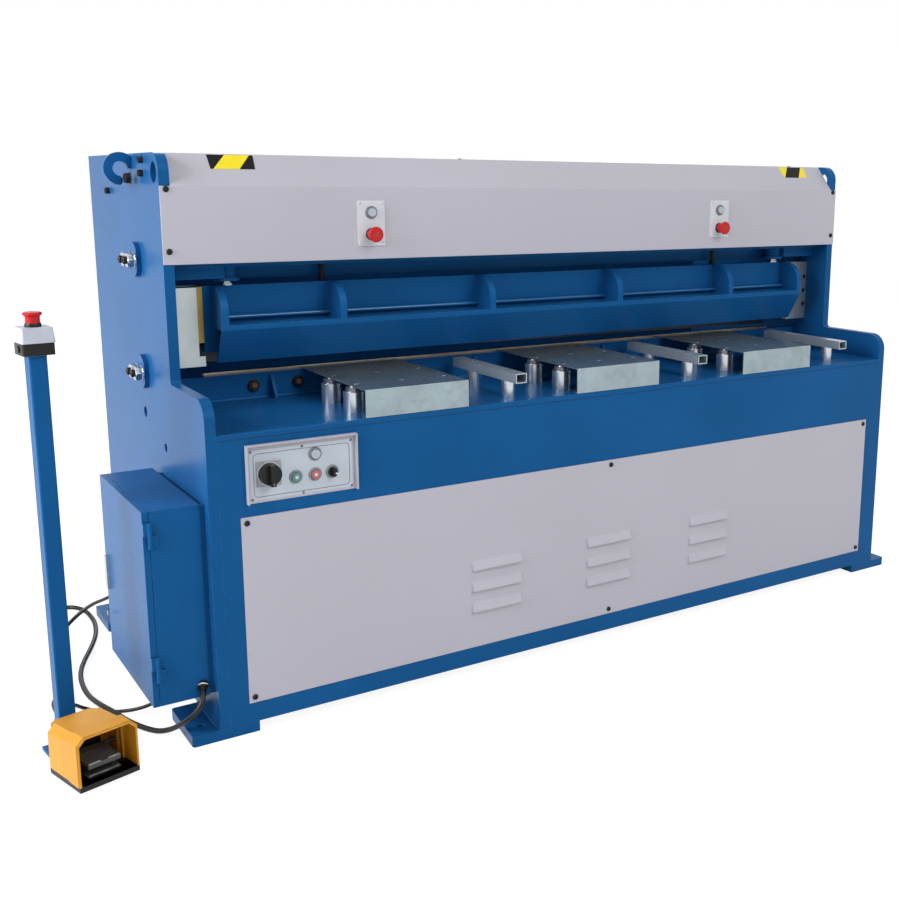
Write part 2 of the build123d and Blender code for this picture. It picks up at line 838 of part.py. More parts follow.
def make_control_panel():
    right = control_x + control_width
    top = control_foot + control_height
    face = front_y - control_plate_thickness
    with BuildPart() as control_panel:
        block(control_x, right, face, front_y, control_foot, top)
        block(control_x, control_x + hood_sheet, front_y - hood_depth, front_y, control_foot, top)
        block(right - hood_sheet, right, front_y - hood_depth, front_y, control_foot, top)
        block(control_x, right, front_y - hood_depth, front_y, top - hood_sheet, top)
        switch_x, switch_z = control_spot(switch_spot)
        block(switch_x - switch_plate_side / 2, switch_x + switch_plate_side / 2,
              face - switch_plate_thickness, face,
              switch_z - switch_plate_side / 2, switch_z + switch_plate_side / 2)
        peg(switch_x, switch_z, face - switch_plate_thickness, front_y, switch_stem_radius + button_play,
            Mode.SUBTRACT)
        for spot in (start_spot, stop_spot, pilot_spot, selector_spot):
            x, z = control_spot(spot)
            peg(x, z, face - bezel_height, face, bezel_radius)
            peg(x, z, face - bezel_height, front_y, button_radius + button_play, Mode.SUBTRACT)
    write_piece(control_panel, "control_panel")


def control_spot(spot):
    return control_x + spot[0], control_foot + spot[1]


def make_main_switch():
    x, z = control_spot(switch_spot)
    face = front_y - control_plate_thickness - switch_plate_thickness - seat_gap
    with BuildPart() as main_switch:
        peg(x, z, face - switch_knob_height, face, switch_knob_radius)
        peg(x, z, face, front_y + button_tail, switch_stem_radius)
        block(x - switch_grip_width / 2, x + switch_grip_width / 2,
              face - switch_knob_height - switch_grip_height, face - switch_knob_height,
              z - switch_knob_radius, z + switch_knob_radius)
    write_piece(main_switch, "main_switch")


def make_push_button(spot, name, face, proud):
    x, z = spot
    with BuildPart() as push_button:
        peg(x, z, face - proud, face + button_tail, button_radius)
    write_piece(push_button, name)


def make_selector():
    x, z = control_spot(selector_spot)
    face = front_y - control_plate_thickness
    with BuildPart() as selector:
        peg(x, z, face - button_proud, face + button_tail, button_radius)
        block(x - selector_grip_width / 2, x + selector_grip_width / 2,
              face - 2 * button_proud, face - button_proud,
              z - button_radius + selector_grip_inset, z + button_radius - selector_grip_inset)
    write_piece(selector, "selector")


def make_stop_stations():
    face = cover_face_y - station_thickness
    with BuildPart() as stop_stations:
        for side in (-1, 1):
            middle = side * station_place
            block(middle - station_width / 2, middle + station_width / 2, face, cover_face_y,
                  station_foot, station_foot + station_height)
            button_z = station_foot + station_button_height
            peg(middle, button_z, face - bezel_height, face, bezel_radius)
            peg(middle, button_z, face - bezel_height, cover_face_y, button_radius + button_play,
                Mode.SUBTRACT)
            peg(middle, station_foot + station_stop_height, face, cover_face_y,
                mushroom_neck_radius + button_play, Mode.SUBTRACT)
    write_piece(stop_stations, "stop_stations")


def make_mushroom(face_plane, name):
    # Z of the plane points out of the panel: neck, body, flare and bevelled brim.
    body_top = mushroom_lift + mushroom_body_height
    flare_angle = math.degrees(math.atan((mushroom_radius - mushroom_body_radius) / mushroom_flare))
    with BuildPart() as mushroom:
        with BuildSketch(face_plane.offset(-mushroom_tail)) as neck:
            Circle(mushroom_neck_radius)
        extrude(neck.sketch, amount=mushroom_tail + mushroom_lift)
        with BuildSketch(face_plane.offset(mushroom_lift)) as body:
            Circle(mushroom_body_radius)
        extrude(body.sketch, amount=mushroom_body_height)
        with BuildSketch(face_plane.offset(body_top - mushroom_flare)) as flare:
            Circle(mushroom_body_radius)
        extrude(flare.sketch, amount=mushroom_flare, taper=-flare_angle)
        with BuildSketch(face_plane.offset(body_top)) as brim:
            Circle(mushroom_radius)
        extrude(brim.sketch, amount=mushroom_brim)
        top_rim = [edge for edge in mushroom.edges().filter_by(GeomType.CIRCLE)
                   if (edge.arc_center - face_plane.origin).dot(face_plane.z_dir)
                   > body_top + mushroom_brim / 2]
        chamfer(top_rim, mushroom_brim / 2)
    write_piece(mushroom, name)


def make_cabinet_body():
    with BuildPart() as cabinet_body:
        block(door_inner_x + door_gap, cabinet_inner_x, cabinet_front_y, cabinet_rear_y,
              cabinet_foot, cabinet_top)
        block(door_inner_x + door_gap, cabinet_inner_x - cabinet_wall, cabinet_front_y + cabinet_wall,
              cabinet_rear_y - cabinet_wall, cabinet_foot + cabinet_wall, cabinet_top - cabinet_wall,
              Mode.SUBTRACT)
        block(cabinet_inner_x, -half_length, cabinet_front_y + cabinet_standoff,
              cabinet_rear_y - cabinet_standoff, cabinet_foot + cabinet_standoff,
              cabinet_top - cabinet_standoff)
        for height in hinge_heights:
            upright(hinge_x, hinge_y, height - hinge_length / 2, height - hinge_split / 2, hinge_radius)
            block(hinge_x, hinge_x + hinge_leaf_width, hinge_y, hinge_y + hinge_leaf,
                  height - hinge_length / 2, height - hinge_split / 2)
            block(hinge_x + hinge_leaf_width - hinge_leaf, hinge_x + hinge_leaf_width, hinge_y,
                  cabinet_front_y, height - hinge_length / 2, height - hinge_split / 2)
    write_piece(cabinet_body, "cabinet_body")


def make_cabinet_door():
    with BuildPart() as cabinet_door:
        block(cabinet_outer_x, door_inner_x, cabinet_front_y, cabinet_rear_y, cabinet_foot, cabinet_top)
        block(cabinet_outer_x + door_sheet, door_inner_x, cabinet_front_y + door_sheet,
              cabinet_rear_y - door_sheet, cabinet_foot + door_sheet, cabinet_top - door_sheet,
              Mode.SUBTRACT)
        for height in hinge_heights:
            upright(hinge_x, hinge_y, height + hinge_split / 2, height + hinge_length / 2, hinge_radius)
            block(cabinet_outer_x, hinge_x, hinge_y, hinge_y + hinge_leaf,
                  height + hinge_split / 2, height + hinge_length / 2)
            block(cabinet_outer_x, cabinet_outer_x + hinge_leaf, hinge_y, cabinet_front_y,
                  height + hinge_split / 2, height + hinge_length / 2)
    write_piece(cabinet_door, "cabinet_door")
    with BuildPart() as cabinet_lock:
        high_y = cabinet_rear_y - lock_from_rear + lock_width / 2
        block(cabinet_outer_x - lock_depth, cabinet_outer_x, high_y - lock_width, high_y,
              cabinet_foot + lock_foot, cabinet_foot + lock_foot + lock_height)
    write_piece(cabinet_lock, "cabinet_lock")


def make_sheet_supports():
    with BuildPart() as support_tables:
        for place in support_places:
            with BuildSketch(Plane.YZ.offset(place - support_width / 2)):
                with BuildLine():
                    Polyline((front_y + support_rear, support_top), (front_y, support_top),
                             (front_y, support_top - support_flange),
                             (front_y + support_return, support_top - support_flange))
                    offset(amount=support_sheet, side=Side.LEFT)
                make_face()
            extrude(amount=support_width)
    write_piece(support_tables, "support_tables")
    with BuildPart() as support_arms:
        for place in arm_places:
            low_y = front_y + arm_from_front
            middle_z = support_top - arm_height / 2
            with BuildSketch(Plane.XZ.offset(-low_y)):
                with Locations((place, middle_z)):
                    Rectangle(arm_width, arm_height)
                    Rectangle(arm_width - 2 * arm_wall, arm_height - 2 * arm_wall, mode=Mode.SUBTRACT)
            extrude(amount=-arm_length)
    write_piece(support_arms, "support_arms")
    with BuildPart() as support_spacers:
        for place in support_places:
            for shift in (-1, 1):
                x = place + shift * (support_width / 2 - roller_inset)
                for row in roller_rows:
                    upright(x, front_y + row, table_height, table_height + roller_height, roller_radius)
                    upright(x, front_y + row, table_height, support_top - support_sheet, roller_neck_radius)
        for place in arm_places:
            for row in arm_spacer_rows:
                upright(place, front_y + row, table_height, support_top - arm_height, arm_spacer_radius)
    write_piece(support_spacers, "support_spacers")


def turned_plane(x, y, z, turn):
    angle = math.radians(turn)
    return Plane(origin=(x, y, z), x_dir=(math.cos(angle), math.sin(angle), 0), z_dir=(0, 0, 1))


def make_pedestal():
    foot_plane = turned_plane(pedestal_x, pedestal_y, 0, pedestal_turn)
    with BuildPart() as pedestal_base:
        with BuildSketch(foot_plane):
            with Locations((0, base_behind_post - base_length / 2)):
                Rectangle(base_width, base_length)
        extrude(amount=base_thickness)
    write_piece(pedestal_base, "pedestal_base")
    with BuildPart() as pedestal_post:
        with BuildSketch(turned_plane(pedestal_x, pedestal_y, base_thickness, pedestal_turn)):
            RectangleRounded(post_side, post_side, post_corner)
            RectangleRounded(post_side - 2 * post_wall, post_side - 2 * post_wall,
                             post_corner - post_wall, mode=Mode.SUBTRACT)
        extrude(amount=post_top - base_thickness)
    write_piece(pedestal_post, "pedestal_post")
    with BuildPart() as stop_box:
        with BuildSketch(turned_plane(pedestal_x, pedestal_y, post_top, pedestal_turn)) as lower:
            RectangleRounded(box_base_side, box_base_side, box_corner)
        extrude(lower.sketch, amount=box_base_height)
        cover_plane = turned_plane(pedestal_x, pedestal_y, post_top + box_base_height, pedestal_turn)
        with BuildSketch(cover_plane) as upper:
            RectangleRounded(box_side, box_side, box_corner)
        extrude(upper.sketch, amount=box_height - box_base_height, taper=box_cover_taper)
        bore_depth = mushroom_tail + mushroom_travel + mushroom_end_gap
        upright(pedestal_x, pedestal_y, post_top + box_height - bore_depth, post_top + box_height,
                mushroom_neck_radius + button_play, Mode.SUBTRACT)
    write_piece(stop_box, "stop_box")
    make_mushroom(turned_plane(pedestal_x, pedestal_y, post_top + box_height, pedestal_turn),
                  "pedestal_stop")


def pad_plane(height):
    return turned_plane(pad_corner[0], pad_corner[1], height, pad_turn)


def pad_point(across, along, height):
    angle = math.radians(pad_turn)
    x = pad_corner[0] + across * math.cos(angle) - along * math.sin(angle)
    y = pad_corner[1] + across * math.sin(angle) + along * math.cos(angle)
    return x, y, height


def pad_front_plane(along):
    angle = math.radians(pad_turn)
    return Plane(origin=pad_point(0, along, 0), x_dir=(math.cos(angle), math.sin(angle), 0),
                 z_dir=(math.sin(angle), -math.cos(angle), 0))


def pad_side_plane(across):
    angle = math.radians(pad_turn)
    return Plane(origin=pad_point(across, 0, 0), x_dir=(-math.sin(angle), math.cos(angle), 0),
                 z_dir=(math.cos(angle), math.sin(angle), 0))


def guard_outline(inset, floor, height):
    low = inset
    high = pad_width - inset
    crown = base_thickness + height - inset
    slope = guard_shoulder - inset / 2
    Polyline((low, floor), (low, crown - slope), (low + slope, crown), (high - slope, crown),
             (high, crown - slope), (high, floor), close=True)


def guard_form(inset, floor, rear_along):
    # A hood that is high at its open front and falls towards the back.
    with BuildPart() as form:
        for along, height in ((0, guard_height), (rear_along, guard_rear_height)):
            with BuildSketch(pad_front_plane(along)):
                with BuildLine():
                    guard_outline(inset, floor, height)
                make_face()
        loft()
    return form.part


def make_foot_switch():
    floor = base_thickness + pad_base
    with BuildPart() as foot_switch_base:
        with BuildSketch(pad_plane(base_thickness)) as plate:
            with Locations((pad_width / 2, pad_length / 2)):
                Rectangle(pad_width, pad_length)
        extrude(plate.sketch, amount=pad_base)
        with BuildSketch(pad_plane(floor)) as toe_plate:
            with Locations((pad_width / 2, treadle_front + toe_plate_length / 2)):
                Rectangle(treadle_width, toe_plate_length)
        extrude(toe_plate.sketch, amount=toe_plate_thickness)
        with BuildSketch(pad_plane(floor)) as switch_body:
            with Locations((pad_width / 2, pad_length - guard_wall - switch_body_length / 2)):
                Rectangle(treadle_width, switch_body_length)
        extrude(switch_body.sketch, amount=switch_body_height)
    write_piece(foot_switch_base, "foot_switch_base")
    with BuildPart() as foot_switch_guard:
        add(guard_form(0, floor, pad_length))
        with BuildSketch(pad_plane(floor)) as guard_back:
            with Locations((pad_width / 2, pad_length + guard_back_reach - guard_back_length / 2)):
                RectangleRounded(guard_back_width, guard_back_length, guard_back_corner)
        extrude(guard_back.sketch, amount=guard_back_height)
        add(guard_form(guard_wall, floor, pad_length - guard_wall), mode=Mode.SUBTRACT)
    write_piece(foot_switch_guard, "foot_switch_guard")
    pin_along = treadle_front + treadle_length
    with BuildPart() as treadle:
        with BuildSketch(pad_side_plane((pad_width - treadle_width) / 2)):
            with BuildLine():
                Polyline((treadle_front, treadle_front_height - treadle_thickness),
                         (treadle_front, treadle_front_height), (pin_along, treadle_rear_height),
                         (pin_along, treadle_rear_height - treadle_thickness), close=True)
            make_face()
        extrude(amount=treadle_width)
        with BuildSketch(pad_side_plane(guard_wall + seat_gap)):
            with Locations((pin_along, treadle_rear_height - treadle_thickness / 2)):
                Circle(treadle_pin_radius)
        extrude(amount=pad_width - 2 * guard_wall - 2 * seat_gap)
    write_piece(treadle, "treadle")


def cable_glands():
    # One plane for each gland, seated on its wall with Z out of it, and the gland's radius.
    angle = math.radians(pedestal_turn)
    half_post = post_side / 2
    power_spot = (-half_length - power_gland_from_side, cabinet_front_y, power_gland_height)
    signal_spot = (signal_gland_spot[0], signal_gland_spot[1], cabinet_foot)
    stop_spot_on_panel = (stop_gland_spot[0], rear_y, stop_gland_spot[1])
    planes = [(Plane(origin=power_spot, x_dir=(1, 0, 0), z_dir=power_gland_lean), large_gland_radius),
              (Plane(origin=signal_spot, x_dir=(1, 0, 0), z_dir=(0, 0, -1)), small_gland_radius),
              (Plane(origin=stop_spot_on_panel, x_dir=(1, 0, 0), z_dir=(0, 1, 0)), small_gland_radius)]
    for height, radius in zip(post_gland_heights,
                              (large_gland_radius, small_gland_radius, small_gland_radius)):
        spot = (pedestal_x - half_post * math.sin(angle), pedestal_y + half_post * math.cos(angle), height)
        planes.append((Plane(origin=spot, x_dir=(0, 0, 1), z_dir=(-math.sin(angle), math.cos(angle), 0)),
                       radius))
    return planes


def make_cable_glands():
    with BuildPart() as glands:
        for plane, radius in cable_glands():
            with BuildSketch(plane) as nut:
                Circle(radius)
            extrude(nut.sketch, amount=gland_nut_length)
            with BuildSketch(plane.offset(gland_nut_length)) as cap:
                Circle(radius * gland_cap_share)
            extrude(cap.sketch, amount=gland_length - gland_nut_length)
        flange_x = -half_length - power_gland_from_side
        peg(flange_x, power_gland_height, cabinet_front_y - power_flange_thickness, cabinet_front_y,
            power_flange_radius)
        block(flange_x - 2 * power_flange_radius, flange_x + 2 * power_flange_radius,
              cabinet_front_y, cabinet_front_y + power_flange_radius,
              power_gland_height - 2 * power_flange_radius, power_gland_height + 2 * power_flange_radius,
              Mode.SUBTRACT)
    write_piece(glands, "cable_glands")


def make_cable(name, diameter, first, route, last, end_runs):
    # Straight runs joined by tangent arcs, from the mouth of one gland to the mouth of the other.
    mouths = [plane.origin + plane.z_dir * gland_length for plane in (first, last)]
    turns = [mouth + plane.z_dir * run for mouth, plane, run in zip(mouths, (first, last), end_runs)]
    corners = [mouths[0], turns[0]] + [Vector(*corner) for corner in route] + [turns[1], mouths[1]]
    radii = []
    for before, corner, after in zip(corners, corners[1:], corners[2:]):
        half_turn = math.radians((corner - before).get_angle(after - corner)) / 2
        shorter = min((corner - before).length, (after - corner).length)
        radii.append(corner_share * shorter / math.tan(half_turn))
    with BuildPart() as cable:
        with BuildLine() as path:
            FilletPolyline(*corners, radius=radii)
        spine = path.wires()[0]
        with BuildSketch(Plane(origin=spine @ 0, z_dir=spine % 0)):
            Circle(diameter / 2)
        sweep(path=spine)
    run = spine.length
    print(name, "shortest radius", round(min(radii), 1), "run", round(run, 1), "volume over section",
          round(cable.part.volume / (math.pi * diameter ** 2 / 4 * run), 4))
    write_piece(cable, name)


def make_cables():
    planes = [plane for plane, radius in cable_glands()]
    make_cable("power_cable", power_diameter, planes[0], power_route, planes[3], power_runs)
    make_cable("signal_cable", signal_diameter, planes[1], signal_route, planes[4], signal_runs)
    make_cable("stop_cable", stop_diameter, planes[5], stop_route, planes[2], stop_runs)


def main():
    os.makedirs("parts", exist_ok=True)
    make_feet()
    make_side_plate(-1, "left_side_plate")
    make_side_plate(1, "right_side_plate")
    make_front_plate()
    make_table_plate()
    make_blade_holder()
    make_lower_blade()
    make_bed_beam()
    make_rear_chute()
    make_rear_panel()
    make_top_beam()
    make_upper_cover()
    make_front_panel()
    make_gibs()
    make_cylinders()
    make_stop_buffers()
    make_beam_plate()
    make_beam_shelf()
    make_beam_gussets()
    make_shelf_bars()
    make_blade_carrier()
    make_upper_blade()
    make_side_bosses()
    make_lifting_hooks()
    make_control_panel()
    make_main_switch()
    panel_face = front_y - control_plate_thickness
    make_push_button(control_spot(start_spot), "start_button", panel_face, button_proud)
    make_push_button(control_spot(stop_spot), "stop_button", panel_face, button_proud)
    make_push_button(control_spot(pilot_spot), "pilot_lamp", panel_face, button_proud)
    make_selector()
    make_stop_stations()
    station_face = cover_face_y - station_thickness
    for side, word in ((-1, "left"), (1, "right")):
        button_spot = (side * station_place, station_foot + station_button_height)
        make_push_button(button_spot, word + "_station_button", station_face, button_proud)
        stop_origin = (side * station_place, station_face, station_foot + station_stop_height)
        make_mushroom(Plane(origin=stop_origin, x_dir=(1, 0, 0), z_dir=(0, -1, 0)),
                      word + "_emergency_stop")
    make_cabinet_body()
    make_cabinet_door()
    make_sheet_supports()
    make_pedestal()
    make_foot_switch()
    make_cable_glands()
    make_cables()


main()
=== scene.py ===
# Hydraulic guillotine shear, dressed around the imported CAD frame.
# Sizes are written in millimetres and become metres where a mesh is made.
import math

import bpy
import numpy as np
from mathutils import Matrix, Vector


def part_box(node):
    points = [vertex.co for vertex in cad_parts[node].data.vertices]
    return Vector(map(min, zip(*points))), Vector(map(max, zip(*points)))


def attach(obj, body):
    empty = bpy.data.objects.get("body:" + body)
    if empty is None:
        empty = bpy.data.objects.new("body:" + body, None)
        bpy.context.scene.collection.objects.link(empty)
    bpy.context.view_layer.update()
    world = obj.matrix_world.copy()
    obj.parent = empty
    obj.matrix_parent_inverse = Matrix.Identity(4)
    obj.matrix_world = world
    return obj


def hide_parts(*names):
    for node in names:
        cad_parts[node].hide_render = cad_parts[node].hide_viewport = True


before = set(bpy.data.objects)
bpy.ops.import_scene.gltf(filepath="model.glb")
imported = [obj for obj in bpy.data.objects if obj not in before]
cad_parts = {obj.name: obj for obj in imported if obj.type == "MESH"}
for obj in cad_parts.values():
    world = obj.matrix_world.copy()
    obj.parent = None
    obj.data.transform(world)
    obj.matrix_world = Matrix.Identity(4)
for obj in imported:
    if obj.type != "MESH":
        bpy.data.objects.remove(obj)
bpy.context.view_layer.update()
scene = bpy.context.scene
scene.view_settings.view_transform = "Standard"

# Camera
# It stands in front of the machine's left end, a little above the table, and looks down slightly.
# Its frame is a square of 900 x 900, and the shift only brings the machine to the photograph's place.
camera_data = bpy.data.cameras.new("camera")
camera_data.lens = 45.11
camera_data.shift_x = -0.1262
camera_data.shift_y = -0.0463
camera_data.clip_end = 80
yaw, pitch, roll = math.radians(34.3875), math.radians(11.2467), math.radians(0.5415)
ahead = Vector((math.sin(yaw) * math.cos(pitch), math.cos(yaw) * math.cos(pitch), -math.sin(pitch)))
level = Vector((math.cos(yaw), -math.sin(yaw), 0))
above = level.cross(ahead)
right = level * math.cos(roll) + above * math.sin(roll)
upward = above * math.cos(roll) - level * math.sin(roll)
camera = bpy.data.objects.new("camera", camera_data)
camera.matrix_world = (Matrix.Translation((-1.86244, -2.98072, 1.29832))
                       @ Matrix((right, upward, -ahead)).transposed().to_4x4())
scene.collection.objects.link(camera)
scene.camera = camera

# Side plates, feet and the plates of the bed
# Thick plates of rolled steel, flame cut, welded together and sprayed with blue gloss paint.
# The paint has a fine orange peel, cloudy patches and thin spots along the cut edges.
BLUE = (22, 84, 139)
EDGE_BLUE = (78, 128, 176)


def linear(colour):
    """Turns a colour of 0 to 255 as seen on a screen into the linear values that a shader takes."""
    share = np.array(colour) / 255
    return np.where(share < 0.04045, share / 12.92, ((share + 0.055) / 1.055) ** 2.4)


def add_node(nodes, kind, operation=None, **values):
    """Adds a shader node and fills its inputs. An underscore in an input's name is a space."""
    node = nodes.new("ShaderNode" + kind)
    if operation:
        node.operation = operation
    for name, value in values.items():
        node.inputs[name.replace("_", " ")].default_value = value
    return node


def wear_edges(nodes, links, place, edge_normal, paint, edge_colour):
    """Mixes the edge colour into the paint where the rounded edge's normal leaves the face's own,
    in the spots that a coarse noise gives."""
    surface = add_node(nodes, "NewGeometry")
    facing = add_node(nodes, "VectorMath", "DOT_PRODUCT")
    links.new(edge_normal, facing.inputs[0])
    links.new(surface.outputs["Normal"], facing.inputs[1])
    near_edge = add_node(nodes, "MapRange", From_Min=0.985, From_Max=0.86)
    links.new(facing.outputs["Value"], near_edge.inputs["Value"])
    breaks = add_node(nodes, "TexNoise", Scale=28, Detail=4)
    links.new(place, breaks.inputs["Vector"])
    spots = add_node(nodes, "MapRange", From_Min=0.42, From_Max=0.6)
    links.new(breaks.outputs["Fac"], spots.inputs["Value"])
    worn = add_node(nodes, "Math", "MULTIPLY")
    links.new(near_edge.outputs["Result"], worn.inputs[0])
    links.new(spots.outputs["Result"], worn.inputs[1])
    wear = add_node(nodes, "Mix")
    wear.data_type = "RGBA"
    links.new(worn.outputs["Value"], wear.inputs["Factor"])
    links.new(paint, wear.inputs["A"])
    wear.inputs["B"].default_value = (*linear(edge_colour), 1)
    return wear.outputs["Result"]


def finish(name, colour, roughness, metallic=0.0, tint=0.08, patch=3.0, grain=(500, 500, 500),
           depth=0.00006, edge=0.0012, edge_colour=None, gloss_spread=0.06, shine=0.5, cells=0.0,
           reflected=(1, 1, 1)):
    """A surface whose colour is lightened and darkened by tint in cloudy patches, or in crystal
    cells for galvanised steel. A fine grain makes its bump and its uneven gloss, and its edges
    are rounded by edge metres and worn to edge_colour in broken spots. Its gloss is as strong as
    shine and takes the colour reflected."""
    material = bpy.data.materials.new(name)
    material.use_nodes = True
    nodes, links = material.node_tree.nodes, material.node_tree.links
    shader = nodes["Principled BSDF"]
    shader.inputs["Metallic"].default_value = metallic
    shader.inputs["Specular IOR Level"].default_value = shine
    shader.inputs["Specular Tint"].default_value = (*reflected, 1)
    place = add_node(nodes, "TexCoord").outputs["Object"]
    clouds = add_node(nodes, "TexNoise", Scale=patch, Detail=7)
    links.new(place, clouds.inputs["Vector"])
    pattern = clouds.outputs["Fac"]
    if cells:
        crystals = add_node(nodes, "TexVoronoi", Scale=cells)
        links.new(place, crystals.inputs["Vector"])
        both = add_node(nodes, "Mix", Factor=0.22)
        links.new(clouds.outputs["Fac"], both.inputs["A"])
        links.new(crystals.outputs["Color"], both.inputs["B"])
        pattern = both.outputs["Result"]
    tones = add_node(nodes, "ValToRGB")
    dark, light = tones.color_ramp.elements
    dark.position, light.position = 0.32, 0.68
    base = linear(colour)
    dark.color = (*np.clip(base * (1 - tint), 0, 1), 1)
    light.color = (*np.clip(base * (1 + tint), 0, 1), 1)
    links.new(pattern, tones.inputs["Fac"])
    stretch = add_node(nodes, "Mapping", Scale=grain)
    links.new(place, stretch.inputs["Vector"])
    fine = add_node(nodes, "TexNoise", Scale=1.0, Detail=3)
    links.new(stretch.outputs["Vector"], fine.inputs["Vector"])
    gloss = add_node(nodes, "MapRange", From_Min=0.3, From_Max=0.7,
                     To_Min=max(roughness - gloss_spread, 0.03), To_Max=roughness + gloss_spread)
    links.new(fine.outputs["Fac"], gloss.inputs["Value"])
    links.new(gloss.outputs["Result"], shader.inputs["Roughness"])
    relief = add_node(nodes, "Bump", Distance=depth)
    links.new(fine.outputs["Fac"], relief.inputs["Height"])
    soft_edge = add_node(nodes, "Bevel", Radius=edge)
    soft_edge.samples = 3
    links.new(soft_edge.outputs["Normal"], relief.inputs["Normal"])
    links.new(relief.outputs["Normal"], shader.inputs["Normal"])
    paint = tones.outputs["Color"]
    if edge_colour:
        paint = wear_edges(nodes, links, place, soft_edge.outputs["Normal"], paint, edge_colour)
    links.new(paint, shader.inputs["Base Color"])
    return material


def dress(material, *names):
    """Gives a material to CAD nodes."""
    for name in names:
        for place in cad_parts[name].material_slots:
            place.material = material


def make_piece(name, forms, material, body, bevel=0.0):
    """Joins forms, each (points in mm, faces), to one object that rides on a body."""
    shifts = np.cumsum([0] + [len(points) for points, faces in forms])
    points = np.concatenate([points for points, faces in forms]) / 1000
    faces = [[int(shift + corner) for corner in face]
             for shift, (form, form_faces) in zip(shifts, forms) for face in form_faces]
    mesh = bpy.data.meshes.new(name)
    mesh.from_pydata(points.tolist(), [], faces)
    mesh.materials.append(material)
    mesh.shade_smooth()
    mesh.set_sharp_from_angle(angle=math.radians(32))
    piece = bpy.data.objects.new(name, mesh)
    scene.collection.objects.link(piece)
    if bevel:
        rounding = piece.modifiers.new("rounding", "BEVEL")
        rounding.width = bevel / 1000
        rounding.segments = 2
        rounding.limit_method = "ANGLE"
    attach(piece, body)


def axes_along(direction):
    """Three unit vectors as rows, the last along the direction, which make a right-handed set."""
    along = np.array(direction, float) / np.linalg.norm(direction)
    helper = np.array((0, 0, 1.0)) if abs(along[2]) < 0.9 else np.array((1.0, 0, 0))
    side = np.cross(helper, along)
    side /= np.linalg.norm(side)
    return np.array((side, np.cross(along, side), along))


def close_rings(rings, first_pole, last_pole):
    """Joins rings of points, counted anticlockwise around the way they advance, with quads,
    and closes both ends with a fan to a pole."""
    count, sides = rings.shape[:2]
    points = np.concatenate((rings.reshape(-1, 3), [first_pole, last_pole]))
    ring = np.arange(count - 1)[:, None] * sides
    here, after = np.arange(sides), (np.arange(sides) + 1) % sides
    quads = np.stack((ring + here, ring + after, ring + sides + after, ring + sides + here), -1)
    top = (count - 1) * sides
    first_fan = np.stack((np.full(sides, count * sides), after, here), -1)
    last_fan = np.stack((np.full(sides, count * sides + 1), top + here, top + after), -1)
    return points, quads.reshape(-1, 4).tolist() + first_fan.tolist() + last_fan.tolist()


def bead(start, end, radius, pitch=7.0, sides=8):
    """A weld bead: a tube from start to end. Its radius at distance s is
    radius * (0.82 + 0.18 * |sin(pi s / pitch)|), closed by a point at each end."""
    start, end = np.array(start, float), np.array(end, float)
    length = np.linalg.norm(end - start)
    count = max(int(length / pitch * 3), 8)
    run = np.linspace(0, length, count)
    swell = radius * (0.82 + 0.18 * np.abs(np.sin(np.pi * run / pitch)))
    turn = np.arange(sides) * 2 * np.pi / sides
    side, over, along = axes_along(end - start)
    rim = np.cos(turn)[:, None] * side + np.sin(turn)[:, None] * over
    points = start + run[:, None, None] * along + swell[:, None, None] * rim
    return close_rings(points, start - along * radius * 0.5, end + along * radius * 0.5)


blue_paint = finish("blue paint", BLUE, 0.3, tint=0.09, patch=2.2, edge_colour=EDGE_BLUE, shine=0.1,
                    reflected=(0.28, 0.7, 1.0))
dress(blue_paint, "feet", "left_side_plate", "right_side_plate", "front_plate", "table_plate",
      "bed_beam", "rear_panel", "rear_guard", "top_beam")

# Weld seams of the frame
# Painted fillet welds that join the feet and the front plate to the side plates, and the thin
# seam where the front plate meets the table plate, drawn in a darker blue: painted shade for the
# shadow in the groove under the table's front edge.
FRONT, REAR, HALF, SIDE = -498, 468, 1135, 25
FOOT_TOP, SEAM_HEIGHT, WELD_LOW, WELD_HIGH = 26, 721, 120, 720
foot_welds = []
for side in (-1, 1):
    outside, inside = side * HALF, side * (HALF - SIDE)
    for near, far in ((FRONT + 4, FRONT + 176), (REAR - 134, REAR - 4)):
        for x in (outside, inside):
            foot_welds.append(bead((x, near, FOOT_TOP), (x, far, FOOT_TOP), 4.5))
for x, low, high in ((SIDE - HALF, WELD_HIGH, WELD_LOW), (HALF - SIDE, WELD_LOW, WELD_HIGH)):
    foot_welds.append(bead((x, FRONT + 13, low), (x, FRONT + 13, high), 3.5))
make_piece("foot_welds", foot_welds, blue_paint, "frame")
# The seam's darker blue is painted shade for the shadow in the groove under the table's edge.
painted_shade_blue = finish("blue paint darkened as painted shade in a seam", (12, 50, 92), 0.4, tint=0.1, patch=8, shine=0.2)
seam = bead((HALF - SIDE, FRONT, SEAM_HEIGHT), (SIDE - HALF, FRONT, SEAM_HEIGHT), 0.9, pitch=30,
            sides=6)
make_piece("table_seam", [seam], painted_shade_blue, "frame")

# Blade holder on the table
# An upright bar with ribs in front of it, welded to the table and painted; two hex bolts with
# brownish faces hold the left end of the lower blade through it.
TABLE = 735
HOLDER_FACE, RIB_FRONT, RIB_TOP = -98, -137, 56
RIBS = (-835, -420, -215, 255, 425, 850)
RIGHT, OUTWARD, BACK, UP = (1, 0, 0), (0, -1, 0), (0, 1, 0), (0, 0, 1)
dress(blue_paint, "blade_holder")
holder_welds = [bead((-1105, HOLDER_FACE, TABLE + 1), (1105, HOLDER_FACE, TABLE + 1), 5.5, pitch=11)]
for rib in RIBS:
    for x in (rib - 4, rib + 4):
        holder_welds.append(bead((x, RIB_FRONT, TABLE + 1), (x, HOLDER_FACE - 3, TABLE + 1), 3.0))
        holder_welds.append(bead((x, HOLDER_FACE, TABLE + 4), (x, HOLDER_FACE, TABLE + RIB_TOP), 3.0))
make_piece("holder_welds", holder_welds, blue_paint, "frame")


